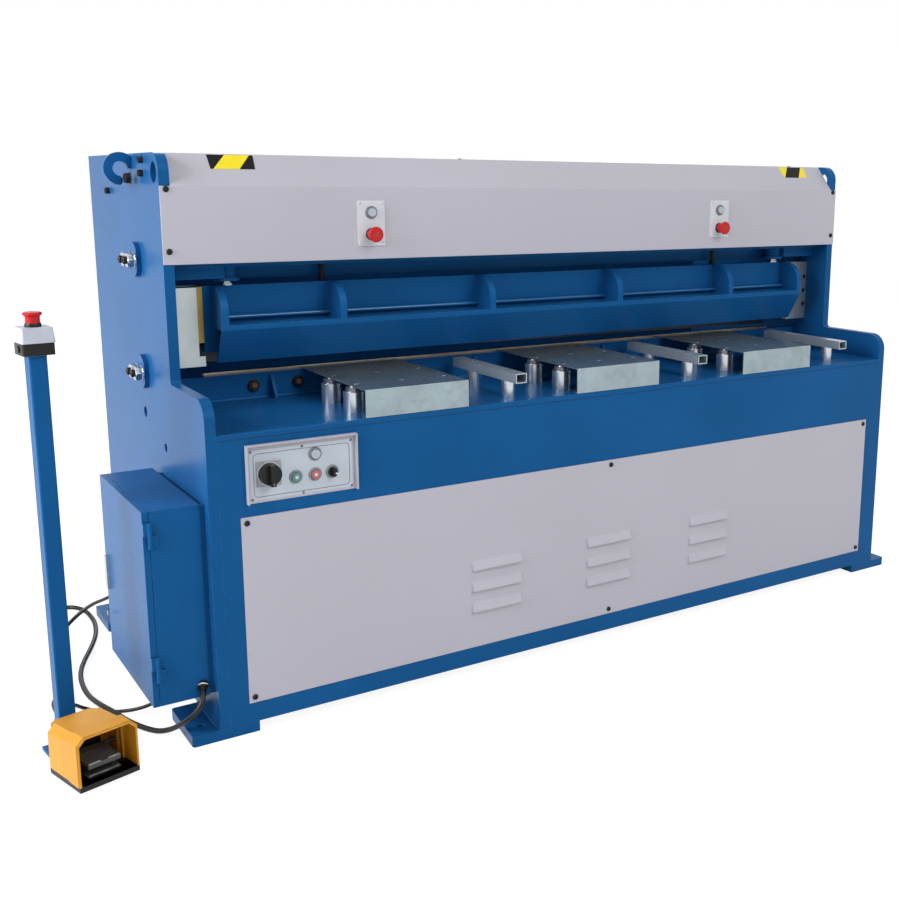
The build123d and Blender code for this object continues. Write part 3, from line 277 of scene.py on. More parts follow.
def turned(profile, spot, axis, sides=32, hexed=()):
    """A turned form: ring k is a circle of radius profile[k][0] at height profile[k][1] above spot
    along axis. The rings numbered in hexed follow a hexagon of that corner radius instead."""
    rows = np.array(profile, float)
    turn = np.arange(sides) * 2 * np.pi / sides
    radius = np.repeat(rows[:, :1], sides, axis=1)
    hexagon = math.cos(math.pi / 6) / np.cos(turn % (np.pi / 3) - np.pi / 6)
    for ring in hexed:
        radius[ring] *= hexagon
    local = np.stack((radius * np.cos(turn), radius * np.sin(turn),
                      np.repeat(rows[:, 1:], sides, axis=1)), -1)
    frame_axes = axes_along(axis)
    rings = np.array(spot, float) + local @ frame_axes
    poles = [np.array(spot, float) + height * frame_axes[2] for height in (rows[0, 1], rows[-1, 1])]
    return close_rings(rings, *poles)


def hex_bolt(spot, axis, radius, height):
    """A hex head with a washer face: the corners are cut off by a cone to 0.93 of the radius."""
    profile = ((radius * 1.05, 0), (radius * 1.05, height * 0.1), (radius * 0.95, height * 0.12),
               (radius, height * 0.14), (radius, height * 0.85), (radius * 0.86, height))
    return turned(profile, spot, axis, 36, hexed=(3, 4))


black_steel = finish("blackened steel", (26, 26, 29), 0.42, metallic=0.5, tint=0.2, patch=60,
                     edge=0.0006, edge_colour=(92, 90, 90))
brown_steel = finish("rust-tinted bolt steel", (98, 74, 60), 0.5, metallic=0.7, tint=0.25, patch=90)
HOLDER_BOLTS = ((-883, 770), (-761, 770))
make_piece("holder_bolts", [hex_bolt((x, HOLDER_FACE, z), OUTWARD, 16, 10) for x, z in HOLDER_BOLTS],
           black_steel, "frame")
make_piece("holder_bolt_tips",
           [turned(((8, 9.9), (8, 12.6), (6.4, 13.8)), (x, HOLDER_FACE, z), OUTWARD, 24)
            for x, z in HOLDER_BOLTS], brown_steel, "frame")

# Blades
# Bars of hardened tool steel, ground bright, with a row of socket screws; the lower one is
# tinted brown by oil and use. The upper one is fixed to the carrier of the knife beam; its steel
# is darkened as painted shade for the shadow it lies in under the beam.
blade_steel = finish("blade steel", (168, 158, 148), 0.3, metallic=0.9, tint=0.16, patch=9,
                     grain=(40, 900, 900), depth=0.00004, edge=0.0006, edge_colour=(228, 224, 218))
dress(blade_steel, "lower_blade")
# The upper blade's dark steel is painted shade for the shadow under the knife beam.
shade_darkened_blade_steel = finish("blade steel darkened as painted shade", (58, 60, 66), 0.4, metallic=0.8, tint=0.2, patch=9,
                     grain=(40, 900, 900), depth=0.00004, edge=0.0006, edge_colour=(120, 118, 114))
dress(shade_darkened_blade_steel, "upper_blade")


def button_head(spot, axis, radius, height):
    """A button-head screw: a dome whose radius falls as the cosine and whose height grows as the
    sine of one angle, with a hexagonal socket sunk in its middle."""
    swing = np.radians((0, 18, 36, 52))
    dome = [(radius * 0.98, 0)] + [(radius * math.cos(t), height * (0.12 + 0.88 * math.sin(t) / 0.8))
                                   for t in swing]
    socket = radius * 0.5
    rows = dome + [(socket, height), (socket * 0.96, height * 0.35)]
    last = len(rows) - 1
    return turned(rows, spot, axis, 36, hexed=(last - 1, last))


screw_steel = finish("zinc screw steel", (196, 200, 206), 0.2, metallic=0.95, tint=0.06, patch=80,
                     grain=(300, 300, 300), depth=0.000006, edge=0.0005, edge_colour=(236, 236, 236))
CARRIER_BACK, SCREW_LINE, SCREW_REACH = -30.5, 858, 960
make_piece("upper_blade_screws",
           [button_head((x, CARRIER_BACK, SCREW_LINE), BACK, 7, 4)
            for x in np.linspace(-SCREW_REACH, SCREW_REACH, 13)],
           screw_steel, "knife_beam")

# Rear chute
# Galvanised sheet folded from the bed beam down to the rear panel, between the side plates. Cut
# strips slide off over it behind the blades.
galvanised = finish("galvanised sheet", (150, 166, 172), 0.3, metallic=0.85, tint=0.14, patch=8,
                    grain=(60, 500, 500), cells=45, edge=0.0008, edge_colour=(214, 220, 220))
dress(galvanised, "rear_chute")

# Upper cover
# Steel sheet folded over the top beam and powder coated in pale lilac grey, held by black button
# screws through its front corners and its roof.
GREY = (180, 179, 189)
COVER_FACE = -245.4
ROOF = 1363
grey_sheet = finish("grey powder coat", GREY, 0.42, tint=0.025, patch=1.6, grain=(900, 900, 900),
                    depth=0.00003, edge=0.0015, edge_colour=(206, 204, 212), shine=0.3)
dress(grey_sheet, "upper_cover")
black_screws = [button_head((side * 1120, COVER_FACE, z), OUTWARD, 7.5, 4.5)
                for side in (-1, 1) for z in (1133, 1278.4)]
black_screws += [button_head((x, y, ROOF), UP, 6, 2.6)
                 for x, y in ((-285, -150), (1000, -150), (-1060, 110), (0, 110), (1060, 110))]
make_piece("cover_screws", black_screws, black_steel, "frame")

# Hazard tape on the cover's slope
# Two short lengths of black and yellow striped adhesive tape, cut by hand and stuck on along
# the slope's upper edge.


def slab(outline, origin, side, over, thickness):
    """An outline in the plane of two directions, carried along their cross product by thickness."""
    side, over = np.array(side, float), np.array(over, float)
    side, over = side / np.linalg.norm(side), over / np.linalg.norm(over)
    flat = np.array(outline, float)
    low = np.array(origin, float) + flat[:, :1] * side + flat[:, 1:] * over
    high = low + np.cross(side, over) * thickness
    count = len(flat)
    here, after = np.arange(count), (np.arange(count) + 1) % count
    walls = np.stack((here, after, after + count, here + count), -1).tolist()
    return np.concatenate((low, high)), walls + [here[::-1].tolist(), (here + count).tolist()]


SLOPE_RUN, SLOPE_RISE = 61.5, 74.4
SLOPE_FOOT = (0, -244.75, 1287.5)
slope_length = math.hypot(SLOPE_RUN, SLOPE_RISE)
slope_up = (0, SLOPE_RUN / slope_length, SLOPE_RISE / slope_length)
tape_foot, tape_head = slope_length - 46, slope_length - 2
tape_yellow = finish("yellow tape", (236, 214, 22), 0.35, tint=0.05, patch=25, grain=(300, 300, 300))
tape_black = finish("black tape", (16, 16, 18), 0.5, tint=0.1, patch=25, grain=(300, 300, 300),
                    shine=0.15)
TAPES = {
    "yellow": (((-996, -932), (-960, -898)), ((919, 923), (916, 957)), ((986, 1025), (1019, 1034))),
    "black": (((-1003, -996), (-1004, -960)), ((-932, -893), (-898, -889)), ((923, 986), (957, 1019))),
}
for word, material in (("yellow", tape_yellow), ("black", tape_black)):
    strips = [slab(((low[0], tape_foot), (low[1], tape_foot), (high[1], tape_head), (high[0], tape_head)),
                   SLOPE_FOOT, RIGHT, slope_up, 0.4) for low, high in TAPES[word]]
    make_piece("tape_" + word, strips, material, "frame")

# Gibs and their brass strips
# Ground steel guide plates bolted to the side plates, with brass wear strips that the knife
# beam slides on. The bolt heads sit in their counterbores.
ground_steel = finish("ground steel", (176, 184, 186), 0.34, metallic=0.85, tint=0.1, patch=12,
                      grain=(60, 60, 1200), depth=0.00003, edge=0.0008, edge_colour=(226, 226, 224))
dress(ground_steel, "gib_plates")
GIB_MIDDLE, GIB_SEAT, GIB_FOOT = 1100, -138, 839
gib_screws = [turned(((7.8, 0), (7.8, 9), (7.2, 10), (4, 10), (3.7, 9.6), (3.7, 4)),
                     (side * GIB_MIDDLE, GIB_SEAT, GIB_FOOT + rise), OUTWARD, 30, hexed=(4, 5))
              for side in (-1, 1) for rise in (50, 98, 146)]
make_piece("gib_screws", gib_screws, black_steel, "frame")
brass = finish("brass", (150, 128, 72), 0.36, metallic=0.9, tint=0.16, patch=18,
               grain=(60, 60, 900), edge=0.0006, edge_colour=(214, 192, 130))
dress(brass, "gib_strips")

# Hydraulic cylinders
# Painted barrels under painted brackets that are welded inside the side plates, with chromed rods
# that push on the knife beam.
dress(blue_paint, "cylinder_brackets", "cylinder_barrels")
chrome = finish("hard chrome", (152, 158, 162), 0.2, metallic=1.0, tint=0.05, patch=40,
                grain=(300, 300, 900), depth=0.00001, edge=0.0005, edge_colour=(240, 240, 240))
dress(chrome, "piston_rods")

# Knife beam
# A welded beam: upright plate, slotted shelf with a slanted apron, six gussets and rods along the
# shelf, all painted blue, with fillet welds where gussets meet the plate and the shelf.
dress(blue_paint, "beam_plate", "beam_shelf", "beam_gussets", "blade_carrier")
# The rods take a lighter copy of the blue paint as painted highlight for the bright gloss along their round
# faces; their glossier finish is real.
highlight_lightened_blue = finish("blue gloss on round bar, lightened as painted highlight", (34, 98, 154), 0.16, tint=0.08, patch=20, shine=0.7,
                    grain=(300, 300, 300), depth=0.00002, reflected=(0.6, 0.85, 1.0))
dress(highlight_lightened_blue, "shelf_bars")
SHELF_TOP, SHELF_REACH, BEAM_FACE, BEAM_TOP, GUSSET_FRONT = 949, 1015, -146, 1034, -228
beam_welds = [bead((-SHELF_REACH, BEAM_FACE, SHELF_TOP - 1), (SHELF_REACH, BEAM_FACE, SHELF_TOP - 1), 3.5)]
for gusset in (-679, -226, 226, 679):
    for x in (gusset - 9, gusset + 9):
        beam_welds.append(bead((x, BEAM_FACE, SHELF_TOP + 2), (x, BEAM_FACE, BEAM_TOP), 3.0))
        beam_welds.append(bead((x, GUSSET_FRONT, SHELF_TOP), (x, BEAM_FACE - 4, SHELF_TOP), 3.0))
make_piece("beam_welds", beam_welds, blue_paint, "knife_beam")

# Stop buffers under the top beam
# Black rubber bumpers on steel studs, screwed under the top beam, where they end the knife
# beam's way up.
rubber = finish("black rubber", (13, 13, 15), 0.6, shine=0.25, tint=0.15, patch=40, grain=(600, 600, 600),
                depth=0.0001, edge=0.001)
dress(rubber, "stop_buffers")

# Front panel
# Powder-coated steel sheet with three columns of pressed louvres, held over the opening of the
# bed by six black button screws.
dress(grey_sheet, "front_panel")
PANEL_LOW, PANEL_HIGH, PANEL_REACH = 90, 521, 1049
panel_screws = [button_head((x, FRONT - 2, z), OUTWARD, 7, 4.5)
                for x in (-PANEL_REACH, 0, PANEL_REACH) for z in (PANEL_LOW, PANEL_HIGH)]
make_piece("panel_screws", panel_screws, black_steel, "frame")

# Side bosses
# Discs with two flats on the side plates. Each is held by two bright hex nuts on washers, and
# black socket studs stand out of the nuts.
dress(blue_paint, "side_bosses")
BOSSES = ((-5, TABLE + 367), (-12, TABLE + 82))
BOSS_TOP = HALF + 12
boss_washers, boss_nuts, boss_studs = [], [], []
for side in (-1, 1):
    for y, z in BOSSES:
        for shift in (-21, 21):
            spot = (side * BOSS_TOP, y + shift, z)
            boss_washers.append(turned(((19.4, -0.2), (19.4, 3.4), (18.2, 4.5), (13.2, 4.5), (13, 4.2)),
                                       spot, (side, 0, 0), 40))
            boss_nuts.append(turned(((17.5, 4.2), (19.8, 5.6), (19.8, 19), (17, 20.8), (10.2, 20.8)),
                                    spot, (side, 0, 0), 36, hexed=(1, 2)))
            boss_studs.append(turned(((9.6, 20.4), (9.6, 28), (8.4, 29.4), (4.6, 29.4), (4.4, 26)),
                                     spot, (side, 0, 0), 36, hexed=(3, 4)))
make_piece("boss_washers", boss_washers, screw_steel, "frame")
make_piece("boss_nuts", boss_nuts, screw_steel, "frame")
make_piece("boss_studs", boss_studs, black_steel, "frame")

# Lifting hooks
# Flame-cut hooks welded to the side plates near the top, with socket screws in the plate
# around them.
dress(blue_paint, "lifting_hooks")


def socket_cap(spot, axis, radius, height):
    """A socket head standing on spot: a rim with a small chamfer, and a hexagonal hole."""
    rows = ((radius, 0), (radius, height * 0.85), (radius * 0.93, height), (radius * 0.56, height),
            (radius * 0.52, height * 0.93), (radius * 0.52, height * 0.15))
    return turned(rows, spot, axis, 36, hexed=(4, 5))


LUG = 14
PLATE_SCREWS = ((-109, 1347), (-102, 1315), (250, 1270))
LUG_SCREW, LUG_BOLT = (42, 1297), (-40, 1303)
hook_screws = []
for side in (-1, 1):
    for place, seat in [(place, 0) for place in PLATE_SCREWS] + [(LUG_SCREW, LUG)]:
        hook_screws.append(socket_cap((side * (HALF + seat), *place), (side, 0, 0), 8.5, 11))
    hook_screws.append(hex_bolt((side * (HALF + LUG), *LUG_BOLT), (side, 0, 0), 14, 14))
make_piece("hook_screws", hook_screws, black_steel, "frame")

# Control panel
# A grey hooded tray with a pale plate in it, a dark printed border line and six screws. Its
# buttons are moulded plastic in grey bezels, and the main switch is a black rotary knob.
CONTROL_X, CONTROL_Z = -1047, 566
CONTROL_MIDDLE = 136.5
CONTROL_FACE = FRONT - 2
dress(grey_sheet, "control_panel")
plate_pale = finish("pale printed plate", (184, 194, 204), 0.4, tint=0.03, patch=14,
                    grain=(700, 700, 700), depth=0.00002)
line_dark = finish("dark printed line", (70, 74, 86), 0.5, tint=0.1, patch=60)
white_plastic = finish("white plastic", (226, 226, 224), 0.32, tint=0.03, patch=40,
                       grain=(700, 700, 700), depth=0.00003)
black_plastic = finish("black plastic", (14, 14, 16), 0.34, tint=0.12, patch=40, shine=0.3,
                       grain=(800, 800, 800), depth=0.00003, edge=0.0008, edge_colour=(48, 48, 50))
lens_plastic = finish("grey lens plastic", (172, 178, 188), 0.22, tint=0.05, patch=60,
                      grain=(400, 400, 400), depth=0.00003)
ring_steel = finish("dull ring steel", (118, 122, 130), 0.3, metallic=0.8, tint=0.08, patch=60,
                    grain=(300, 300, 300), depth=0.000006, edge=0.0005, edge_colour=(190, 192, 196))
green_plastic = finish("green plastic", (84, 134, 122), 0.3, tint=0.06, patch=40, grain=(700, 700, 700))
faded_red = finish("faded red plastic", (176, 96, 100), 0.3, tint=0.08, patch=60, grain=(700, 700, 700))
dress(black_plastic, "main_switch", "selector")
dress(green_plastic, "start_button")
dress(faded_red, "stop_button")
dress(lens_plastic, "pilot_lamp")


def round_corners(width, height, radius, steps=6):
    """A rectangle about the origin with quarter circles at its corners, anticlockwise."""
    turn = np.linspace(0, np.pi / 2, steps)
    corners = [(width / 2 - radius, height / 2 - radius, 0), (radius - width / 2, height / 2 - radius, 1),
               (radius - width / 2, radius - height / 2, 2), (width / 2 - radius, radius - height / 2, 3)]
    return np.concatenate([np.stack((x + radius * np.cos(turn + quarter * np.pi / 2),
                                     z + radius * np.sin(turn + quarter * np.pi / 2)), -1)
                           for x, z, quarter in corners])


def band(outer, inner, origin, side, over, thickness):
    """A flat ring between two outlines with equal counts, carried along side x over by thickness."""
    side, over = np.array(side, float), np.array(over, float)
    lift = np.cross(side, over) * thickness
    rows = [np.array(origin) + outline[:, :1] * side + outline[:, 1:] * over for outline in (outer, inner)]
    points = np.concatenate((rows[0], rows[0] + lift, rows[1] + lift, rows[1]))
    count = len(outer)
    here, after = np.arange(count), (np.arange(count) + 1) % count
    starts = np.arange(4)[:, None] * count
    nexts = ((np.arange(4) + 1) % 4)[:, None] * count
    return points, np.stack((starts + here, starts + after, nexts + after, nexts + here),
                            -1).reshape(-1, 4).tolist()


def at_panel(x, z, proud=0):
    """A place on the plate, or proud of it, from its lower left corner."""
    return CONTROL_X + x, CONTROL_FACE - proud, CONTROL_Z + z


SWITCH, START, STOP, PILOT, SELECTOR = (54, 67), (119, 50), (167, 50), (168, 100), (210, 51)
make_piece("panel_plate",
           [slab(round_corners(256, 120, 5), at_panel(CONTROL_MIDDLE, 66), RIGHT, UP, 0.6)],
           plate_pale, "frame")
border = band(round_corners(238, 104, 11), round_corners(235.6, 101.6, 9.8), at_panel(CONTROL_MIDDLE, 65),
              RIGHT, UP, 0.8)
make_piece("panel_border", [border], line_dark, "frame")
plate_screws = [button_head(at_panel(x, z), OUTWARD, 3.4, 2.2)
                for x in (13, CONTROL_MIDDLE, 260) for z in (9, 122)]
make_piece("plate_screws", plate_screws, ring_steel, "frame")
bezels = [turned(((16.2, 0), (16.2, 3), (15, 4.6), (12.6, 4.8), (11.8, 4.2)),
                 at_panel(*place), OUTWARD, 40) for place in (START, STOP, SELECTOR)]
grey_plastic = finish("grey plastic", (124, 130, 140), 0.36, tint=0.05, patch=40, grain=(700, 700, 700))
make_piece("button_bezels", bezels, grey_plastic, "frame")
make_piece("pilot_ring", [turned(((16, 0), (16, 4), (14.4, 5.6), (12.4, 5.6), (11.6, 4.6)),
                                 at_panel(*PILOT), OUTWARD, 40)], ring_steel, "frame")
turn = np.linspace(0, 2 * np.pi, 48, endpoint=False)
circle = np.stack((np.cos(turn), np.sin(turn)), -1)
switch_grey = finish("switch plate grey", (152, 156, 168), 0.4, tint=0.05, patch=40,
                     grain=(700, 700, 700), depth=0.00003)
make_piece("switch_plate", [slab(round_corners(59, 59, 3), at_panel(*SWITCH, 3), RIGHT, UP, 0.4)],
           switch_grey, "frame")
make_piece("switch_ring", [band(circle * 28.4, circle * 26.8, at_panel(*SWITCH, 3.4), RIGHT, UP,
                                0.5)], white_plastic, "frame")
make_piece("switch_pointer",
           [slab(((-1.2, -22.5), (1.2, -22.5), (1.2, -17), (-1.2, -17)), at_panel(*SWITCH, 35.3),
                 RIGHT, UP, 0.5)], grey_plastic, "switch_knob")
RIB_RADIUS = 23.8
make_piece("switch_ribs",
           [turned(((2.1, 0), (2.1, 15.4), (1.2, 16.8)),
                   at_panel(SWITCH[0] + RIB_RADIUS * math.cos(t), SWITCH[1] + RIB_RADIUS * math.sin(t), 4.3),
                   OUTWARD, 10)
            for t in np.linspace(0, 2 * np.pi, 20, endpoint=False)], black_plastic, "switch_knob")
make_piece("selector_pointer",
           [slab(((2, -3.2), (9.6, -4.6), (9.9, -2.4), (3.2, 0.6)), at_panel(*SELECTOR, 18),
                 RIGHT, UP, 0.4)], white_plastic, "selector_knob")


def cap_marks(node, body, material, axis, outer, inner):
    """A thin ring printed on the middle of a button's end face, which the node's box gives."""
    low, high = (np.array(corner) * 1000 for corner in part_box(node))
    way = np.array(axis, float)
    spot = np.where(way > 0, high, np.where(way < 0, low, (low + high) / 2)) + way * 0.05
    form = turned(((inner, -0.4), (outer, -0.4), (outer, 0.1), (outer - 0.3, 0.3), (inner, 0.3)),
                  spot, axis, 28)
    make_piece(node + "_mark", [form], material, body)


mark_pale = finish("pale mark", (206, 206, 204), 0.4, tint=0.05, patch=60)
cap_marks("start_button", "start_cap", mark_pale, OUTWARD, 4.2, 0.6)
cap_marks("stop_button", "stop_cap", mark_pale, OUTWARD, 4.2, 0.6)

# Stop stations on the cover
# Small pale plates, each held to the cover by four screws, with a grey push button in a steel
# ring over a red mushroom stop on a black collar, which has a plain brown ring printed on it.
STATION_FACE, STATION_FOOT = COVER_FACE - 3, 1136
station_plate = finish("station plate", (202, 204, 212), 0.4, tint=0.03, patch=14, grain=(700, 700, 700))
dress(station_plate, "stop_stations")
dress(lens_plastic, "left_station_button", "right_station_button")
red_plastic = finish("red plastic", (186, 24, 27), 0.3, tint=0.06, patch=40, grain=(700, 700, 700),
                     edge=0.0008, edge_colour=(206, 62, 58), shine=0.3)
dress(red_plastic, "left_emergency_stop", "right_emergency_stop")
station_screws, station_rings, station_collars = [], [], []
for place in (-603, 603):
    station_screws += [button_head((place + x, STATION_FACE, STATION_FOOT + z), OUTWARD, 3.2, 2)
                       for x in (-31, 31) for z in (8, 108)]
    station_rings.append(turned(((16, 0), (16, 4), (14.4, 5.6), (12.4, 5.6), (11.7, 4.6)),
                                (place, STATION_FACE, STATION_FOOT + 86), OUTWARD, 40))
    station_collars.append(turned(((16, 0), (15.4, 2.4), (13.2, 5.2), (12.6, 5.4)),
                                  (place, STATION_FACE, STATION_FOOT + 30), OUTWARD, 40))
make_piece("station_screws", station_screws, screw_steel, "frame")
make_piece("station_rings", station_rings, ring_steel, "frame")
make_piece("station_collars", station_collars, black_plastic, "frame")
mark_brown = finish("brown mark", (128, 60, 30), 0.4, tint=0.1, patch=60)
cap_marks("left_emergency_stop", "left_mushroom", mark_brown, OUTWARD, 5.5, 0.6)
cap_marks("right_emergency_stop", "right_mushroom", mark_brown, OUTWARD, 5.5, 0.6)

# Electric cabinet
# A folded and painted steel box, held off the left side plate by a strip, with a door on two
# barrel hinges, a zinc lock bar and a chromed lock cylinder.
dress(blue_paint, "cabinet_body", "cabinet_door")
dress(screw_steel, "cabinet_lock")
SEAM_SPOT = (-1147, -459.5, 341)
make_piece("cabinet_seam", [slab(round_corners(9.5, 462, 1), SEAM_SPOT, BACK, UP, 12)],
           blue_paint, "frame")
LOCK_SPOT = (-1284, -101, 221)
make_piece("lock_cylinder", [turned(((6.5, -0.4), (6.5, 2.4), (5.6, 3), (2.2, 3), (1.8, 1.6)),
                                    LOCK_SPOT, (-1, 0, 0), 28)], chrome, "door")

# Sheet supports on the table
# Three tables of folded galvanised sheet and three square tubes, on turned zinc spacers, with
# countersunk screws in two rows.
dress(galvanised, "support_tables")
zinc = finish("bright zinc", (204, 210, 216), 0.24, metallic=0.92, tint=0.05, patch=30,
              grain=(20, 20, 500), depth=0.000002, edge=0.0008, edge_colour=(232, 234, 236),
              gloss_spread=0.03)
dress(zinc, "support_spacers")
tube_steel = finish("bright square tube", (178, 190, 198), 0.34, metallic=0.7, tint=0.08, patch=12,
                    grain=(40, 600, 600), depth=0.00003, edge=0.0008, edge_colour=(222, 226, 228))
dress(tube_steel, "support_arms")
SUPPORT_TOP, SPACER_TOP = 805, TABLE + 52
TABLE_PLACES, TABLE_ROWS = (-601, 25, 639), (FRONT + 98, FRONT + 240)
ARM_PLACES, ARM_ROWS = (-291, 343, 944), (FRONT + 80, FRONT + 270)
support_screws = [turned(((7, -0.3), (7, 0.25), (6.3, 0.45), (3.4, 0.45), (3.1, 0.2)),
                         (place + shift, row, SUPPORT_TOP), UP, 30, hexed=(4,))
                  for place in TABLE_PLACES for row in TABLE_ROWS for shift in (-122, 0, 122)]
support_screws += [turned(((6.4, -0.3), (6.4, 0.25), (5.7, 0.45), (3.1, 0.45), (2.9, 0.2)),
                          (place, row, SUPPORT_TOP), UP, 30, hexed=(4,))
                   for place in ARM_PLACES for row in ARM_ROWS]
make_piece("support_screws", support_screws, screw_steel, "frame")
roller_caps = [turned(((20, 0), (20, 10.4), (18.6, 11.8)), (place + shift, row, SPACER_TOP), UP, 36)
               for place in TABLE_PLACES for shift in (-130, 130) for row in TABLE_ROWS]
make_piece("roller_caps", roller_caps, ring_steel, "frame")

# Pedestal
# A square tube welded to a base plate, with the stop box on its top: a pale cover over a black
# base, and the red mushroom stop on a black collar.
dress(blue_paint, "pedestal_base", "pedestal_post")
pale_plastic = finish("pale box plastic", (184, 188, 202), 0.38, tint=0.04, patch=30, shine=0.3,
                      grain=(700, 700, 700), depth=0.00003, edge=0.001, edge_colour=(206, 210, 220))
dress(pale_plastic, "stop_box")
POST = np.array((-1441, -328, 0))
POST_TURN = math.radians(7)
post_right = np.array((math.cos(POST_TURN), math.sin(POST_TURN), 0))
post_back = np.array((-math.sin(POST_TURN), math.cos(POST_TURN), 0))


def at_post(right_by, back_by, height):
    """A place beside the post, along its own faces."""
    return POST + right_by * post_right + back_by * post_back + np.array((0, 0, height))


box_base = band(round_corners(66.4, 66.4, 5.6), round_corners(64.0, 64.0, 4.6), at_post(0, 0, 925.2),
                post_right, post_back, 26.6)
make_piece("stop_box_base", [box_base], black_plastic, "frame")
make_piece("stop_box_gland", [turned(((8, 0), (8, 2.6), (6.6, 3.4), (5, 3.6)), at_post(-32.6, 0, 938),
                                     -post_right, 28)], black_plastic, "frame")
make_piece("pedestal_collar", [turned(((17, -0.2), (17, 5.6), (15.9, 8.4), (15.4, 8.6)),
                                      at_post(0, 0, 985), UP, 40)],
           black_plastic, "frame")
dress(red_plastic, "pedestal_stop")
cap_marks("pedestal_stop", "pedestal_mushroom", mark_brown, UP, 5.5, 0.6)
post_welds = [bead(at_post(x0, y0, 8), at_post(x1, y1, 8), 3.2, pitch=6)
              for x0, y0, x1, y1 in ((-19, -19, 19, -19), (19, -19, 19, 19), (19, 19, -19, 19),
                                     (-19, 19, -19, -19))]
make_piece("post_welds", post_welds, blue_paint, "frame")

# Foot switch
# A cast guard in yellow paint on a black base, with a dark cast treadle on its pin. The treadle
# has a tread of raised bars and a worn front edge, and a toe plate lies under it.
yellow_paint = finish("yellow paint", (204, 142, 36), 0.4, tint=0.09, patch=9, grain=(260, 260, 260),
                      depth=0.00012, edge=0.0022, edge_colour=(240, 200, 112), shine=0.35)
dress(yellow_paint, "foot_switch_guard")
cast_grey = finish("cast treadle grey", (72, 74, 78), 0.5, metallic=0.35, tint=0.15, patch=30,
                   grain=(240, 240, 240), depth=0.0002, edge=0.0012, edge_colour=(172, 172, 172))
dress(cast_grey, "treadle")
dress(black_plastic, "foot_switch_base")
PAD = np.array((-1463.6, -582.1, 0))
BASE = 8
PAD_TURN = math.radians(15.2)
pad_right = np.array((math.cos(PAD_TURN), math.sin(PAD_TURN), 0))
pad_back = np.array((-math.sin(PAD_TURN), math.cos(PAD_TURN), 0))


def at_pad(across, along, height):
    """A place on the foot switch, from the front left corner of its base."""
    return PAD + across * pad_right + along * pad_back + np.array((0, 0, height))


GUARD_CROWN, GUARD_WIDTH, SHOULDER, PAD_FLOOR = BASE + 122, 136.6, 16, BASE + 12
PAD_MIDDLE, TREAD_FRONT, TREAD_TOP = GUARD_WIDTH / 2, 24.6, 51.9


def guard_outline(grow):
    """The guard's opening seen from the front, its straight sides, slanted shoulders and roof moved
    outwards by grow, about the middle of its width at floor height."""
    wide, crown = GUARD_WIDTH / 2 + grow, GUARD_CROWN + grow - PAD_FLOOR
    return np.array(((-wide, 0), (wide, 0), (wide, crown - SHOULDER), (wide - SHOULDER, crown),
                     (SHOULDER - wide, crown), (-wide, crown - SHOULDER)), float)


brow = band(guard_outline(2.2), guard_outline(-2.5), at_pad(PAD_MIDDLE, 44, PAD_FLOOR),
            pad_right, UP, 41)
make_piece("guard_brow", [brow], yellow_paint, "frame", bevel=1.2)
guard_ribs = [slab(((-2, 0), (2, 0), (2, 82), (-2, 82)), at_pad(across, along, PAD_FLOOR),
                   pad_back, UP, 5.4)
              for across in (3.6, 127.6) for along in (58, 78)]
make_piece("guard_ribs", guard_ribs, yellow_paint, "frame", bevel=0.8)
worn_steel = finish("worn cast edge", (150, 150, 150), 0.42, metallic=0.5, tint=0.14, patch=60,
                    grain=(300, 300, 300), depth=0.00004, edge=0.0008, edge_colour=(196, 196, 194))
treadle_lips = [slab(round_corners(width, 4.6, 1.4, 4), at_pad(across, TREAD_FRONT, TREAD_TOP),
                     pad_right, pad_back, 2.6) for across, width in ((46.8, 28), (90.8, 26))]
make_piece("treadle_lips", treadle_lips, worn_steel, "foot_treadle", bevel=0.5)
make_piece("toe_cover", [slab(round_corners(77, 92, 3), at_pad(PAD_MIDDLE, 69, PAD_FLOOR + 3.8),
                              pad_right, pad_back, 0.9)], cast_grey, "frame")
make_piece("toe_lip", [slab(round_corners(70, 4, 1.4, 4), at_pad(PAD_MIDDLE, 26, PAD_FLOOR + 4.6),
                            pad_right, pad_back, 1.8)], worn_steel, "frame")
tread = [slab(round_corners(62, 3.2, 1.4, 4), at_pad(PAD_MIDDLE, 30 + 9 * row, TREAD_TOP + row * 0.46),
              pad_right, pad_back, 1.6) for row in range(1, 6)]
make_piece("treadle_bars", tread, cast_grey, "foot_treadle")

# Cables
# Black rubber-sheathed cables from the side plate, the cabinet and the rear of the machine to the
# pedestal. They lie on the floor in loose curves, and each goes straight out of its glands.
dress(black_plastic, "cable_glands")
sheath = finish("rubber sheath", (11, 11, 13), 0.4, tint=0.18, patch=50, grain=(500, 500, 500),
                depth=0.00006, edge=0.0006, shine=0.35)


def make_cord(name, diameter, points, node):
    """One smooth line through the control points of the cable's route, with a round section."""
    data = bpy.data.curves.new(name, "CURVE")
    data.dimensions = "3D"
    data.bevel_depth = diameter / 2000
    data.bevel_resolution = 5
    data.resolution_u = 10
    data.use_fill_caps = True
    spline = data.splines.new("NURBS")
    spline.points.add(len(points) - 1)
    for control, point in zip(spline.points, points):
        control.co = (*(np.array(point, float) / 1000), 1)
    spline.order_u = 3
    spline.use_endpoint_u = True
    data.materials.append(sheath)
    cord = bpy.data.objects.new(name, data)
    scene.collection.objects.link(cord)
    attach(cord, "frame")
    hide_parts(node)
    return cord


GLAND = 14
POWER_GLAND, POWER_LEAN = (-1161, -467, 135), (-0.25, -0.75, -0.61)
SIGNAL_GLAND, STOP_GLAND = (-1205, -293, 108), (-1055, REAR, 60)


def from_gland(spot, out, run):
    """The mouth of a gland and the point where the cable has gone straight out of it by run."""
    spot, out = np.array(spot, float), np.array(out, float)
    out = out / np.linalg.norm(out)
    return [tuple(spot + out * GLAND), tuple(spot + out * (GLAND + run))]


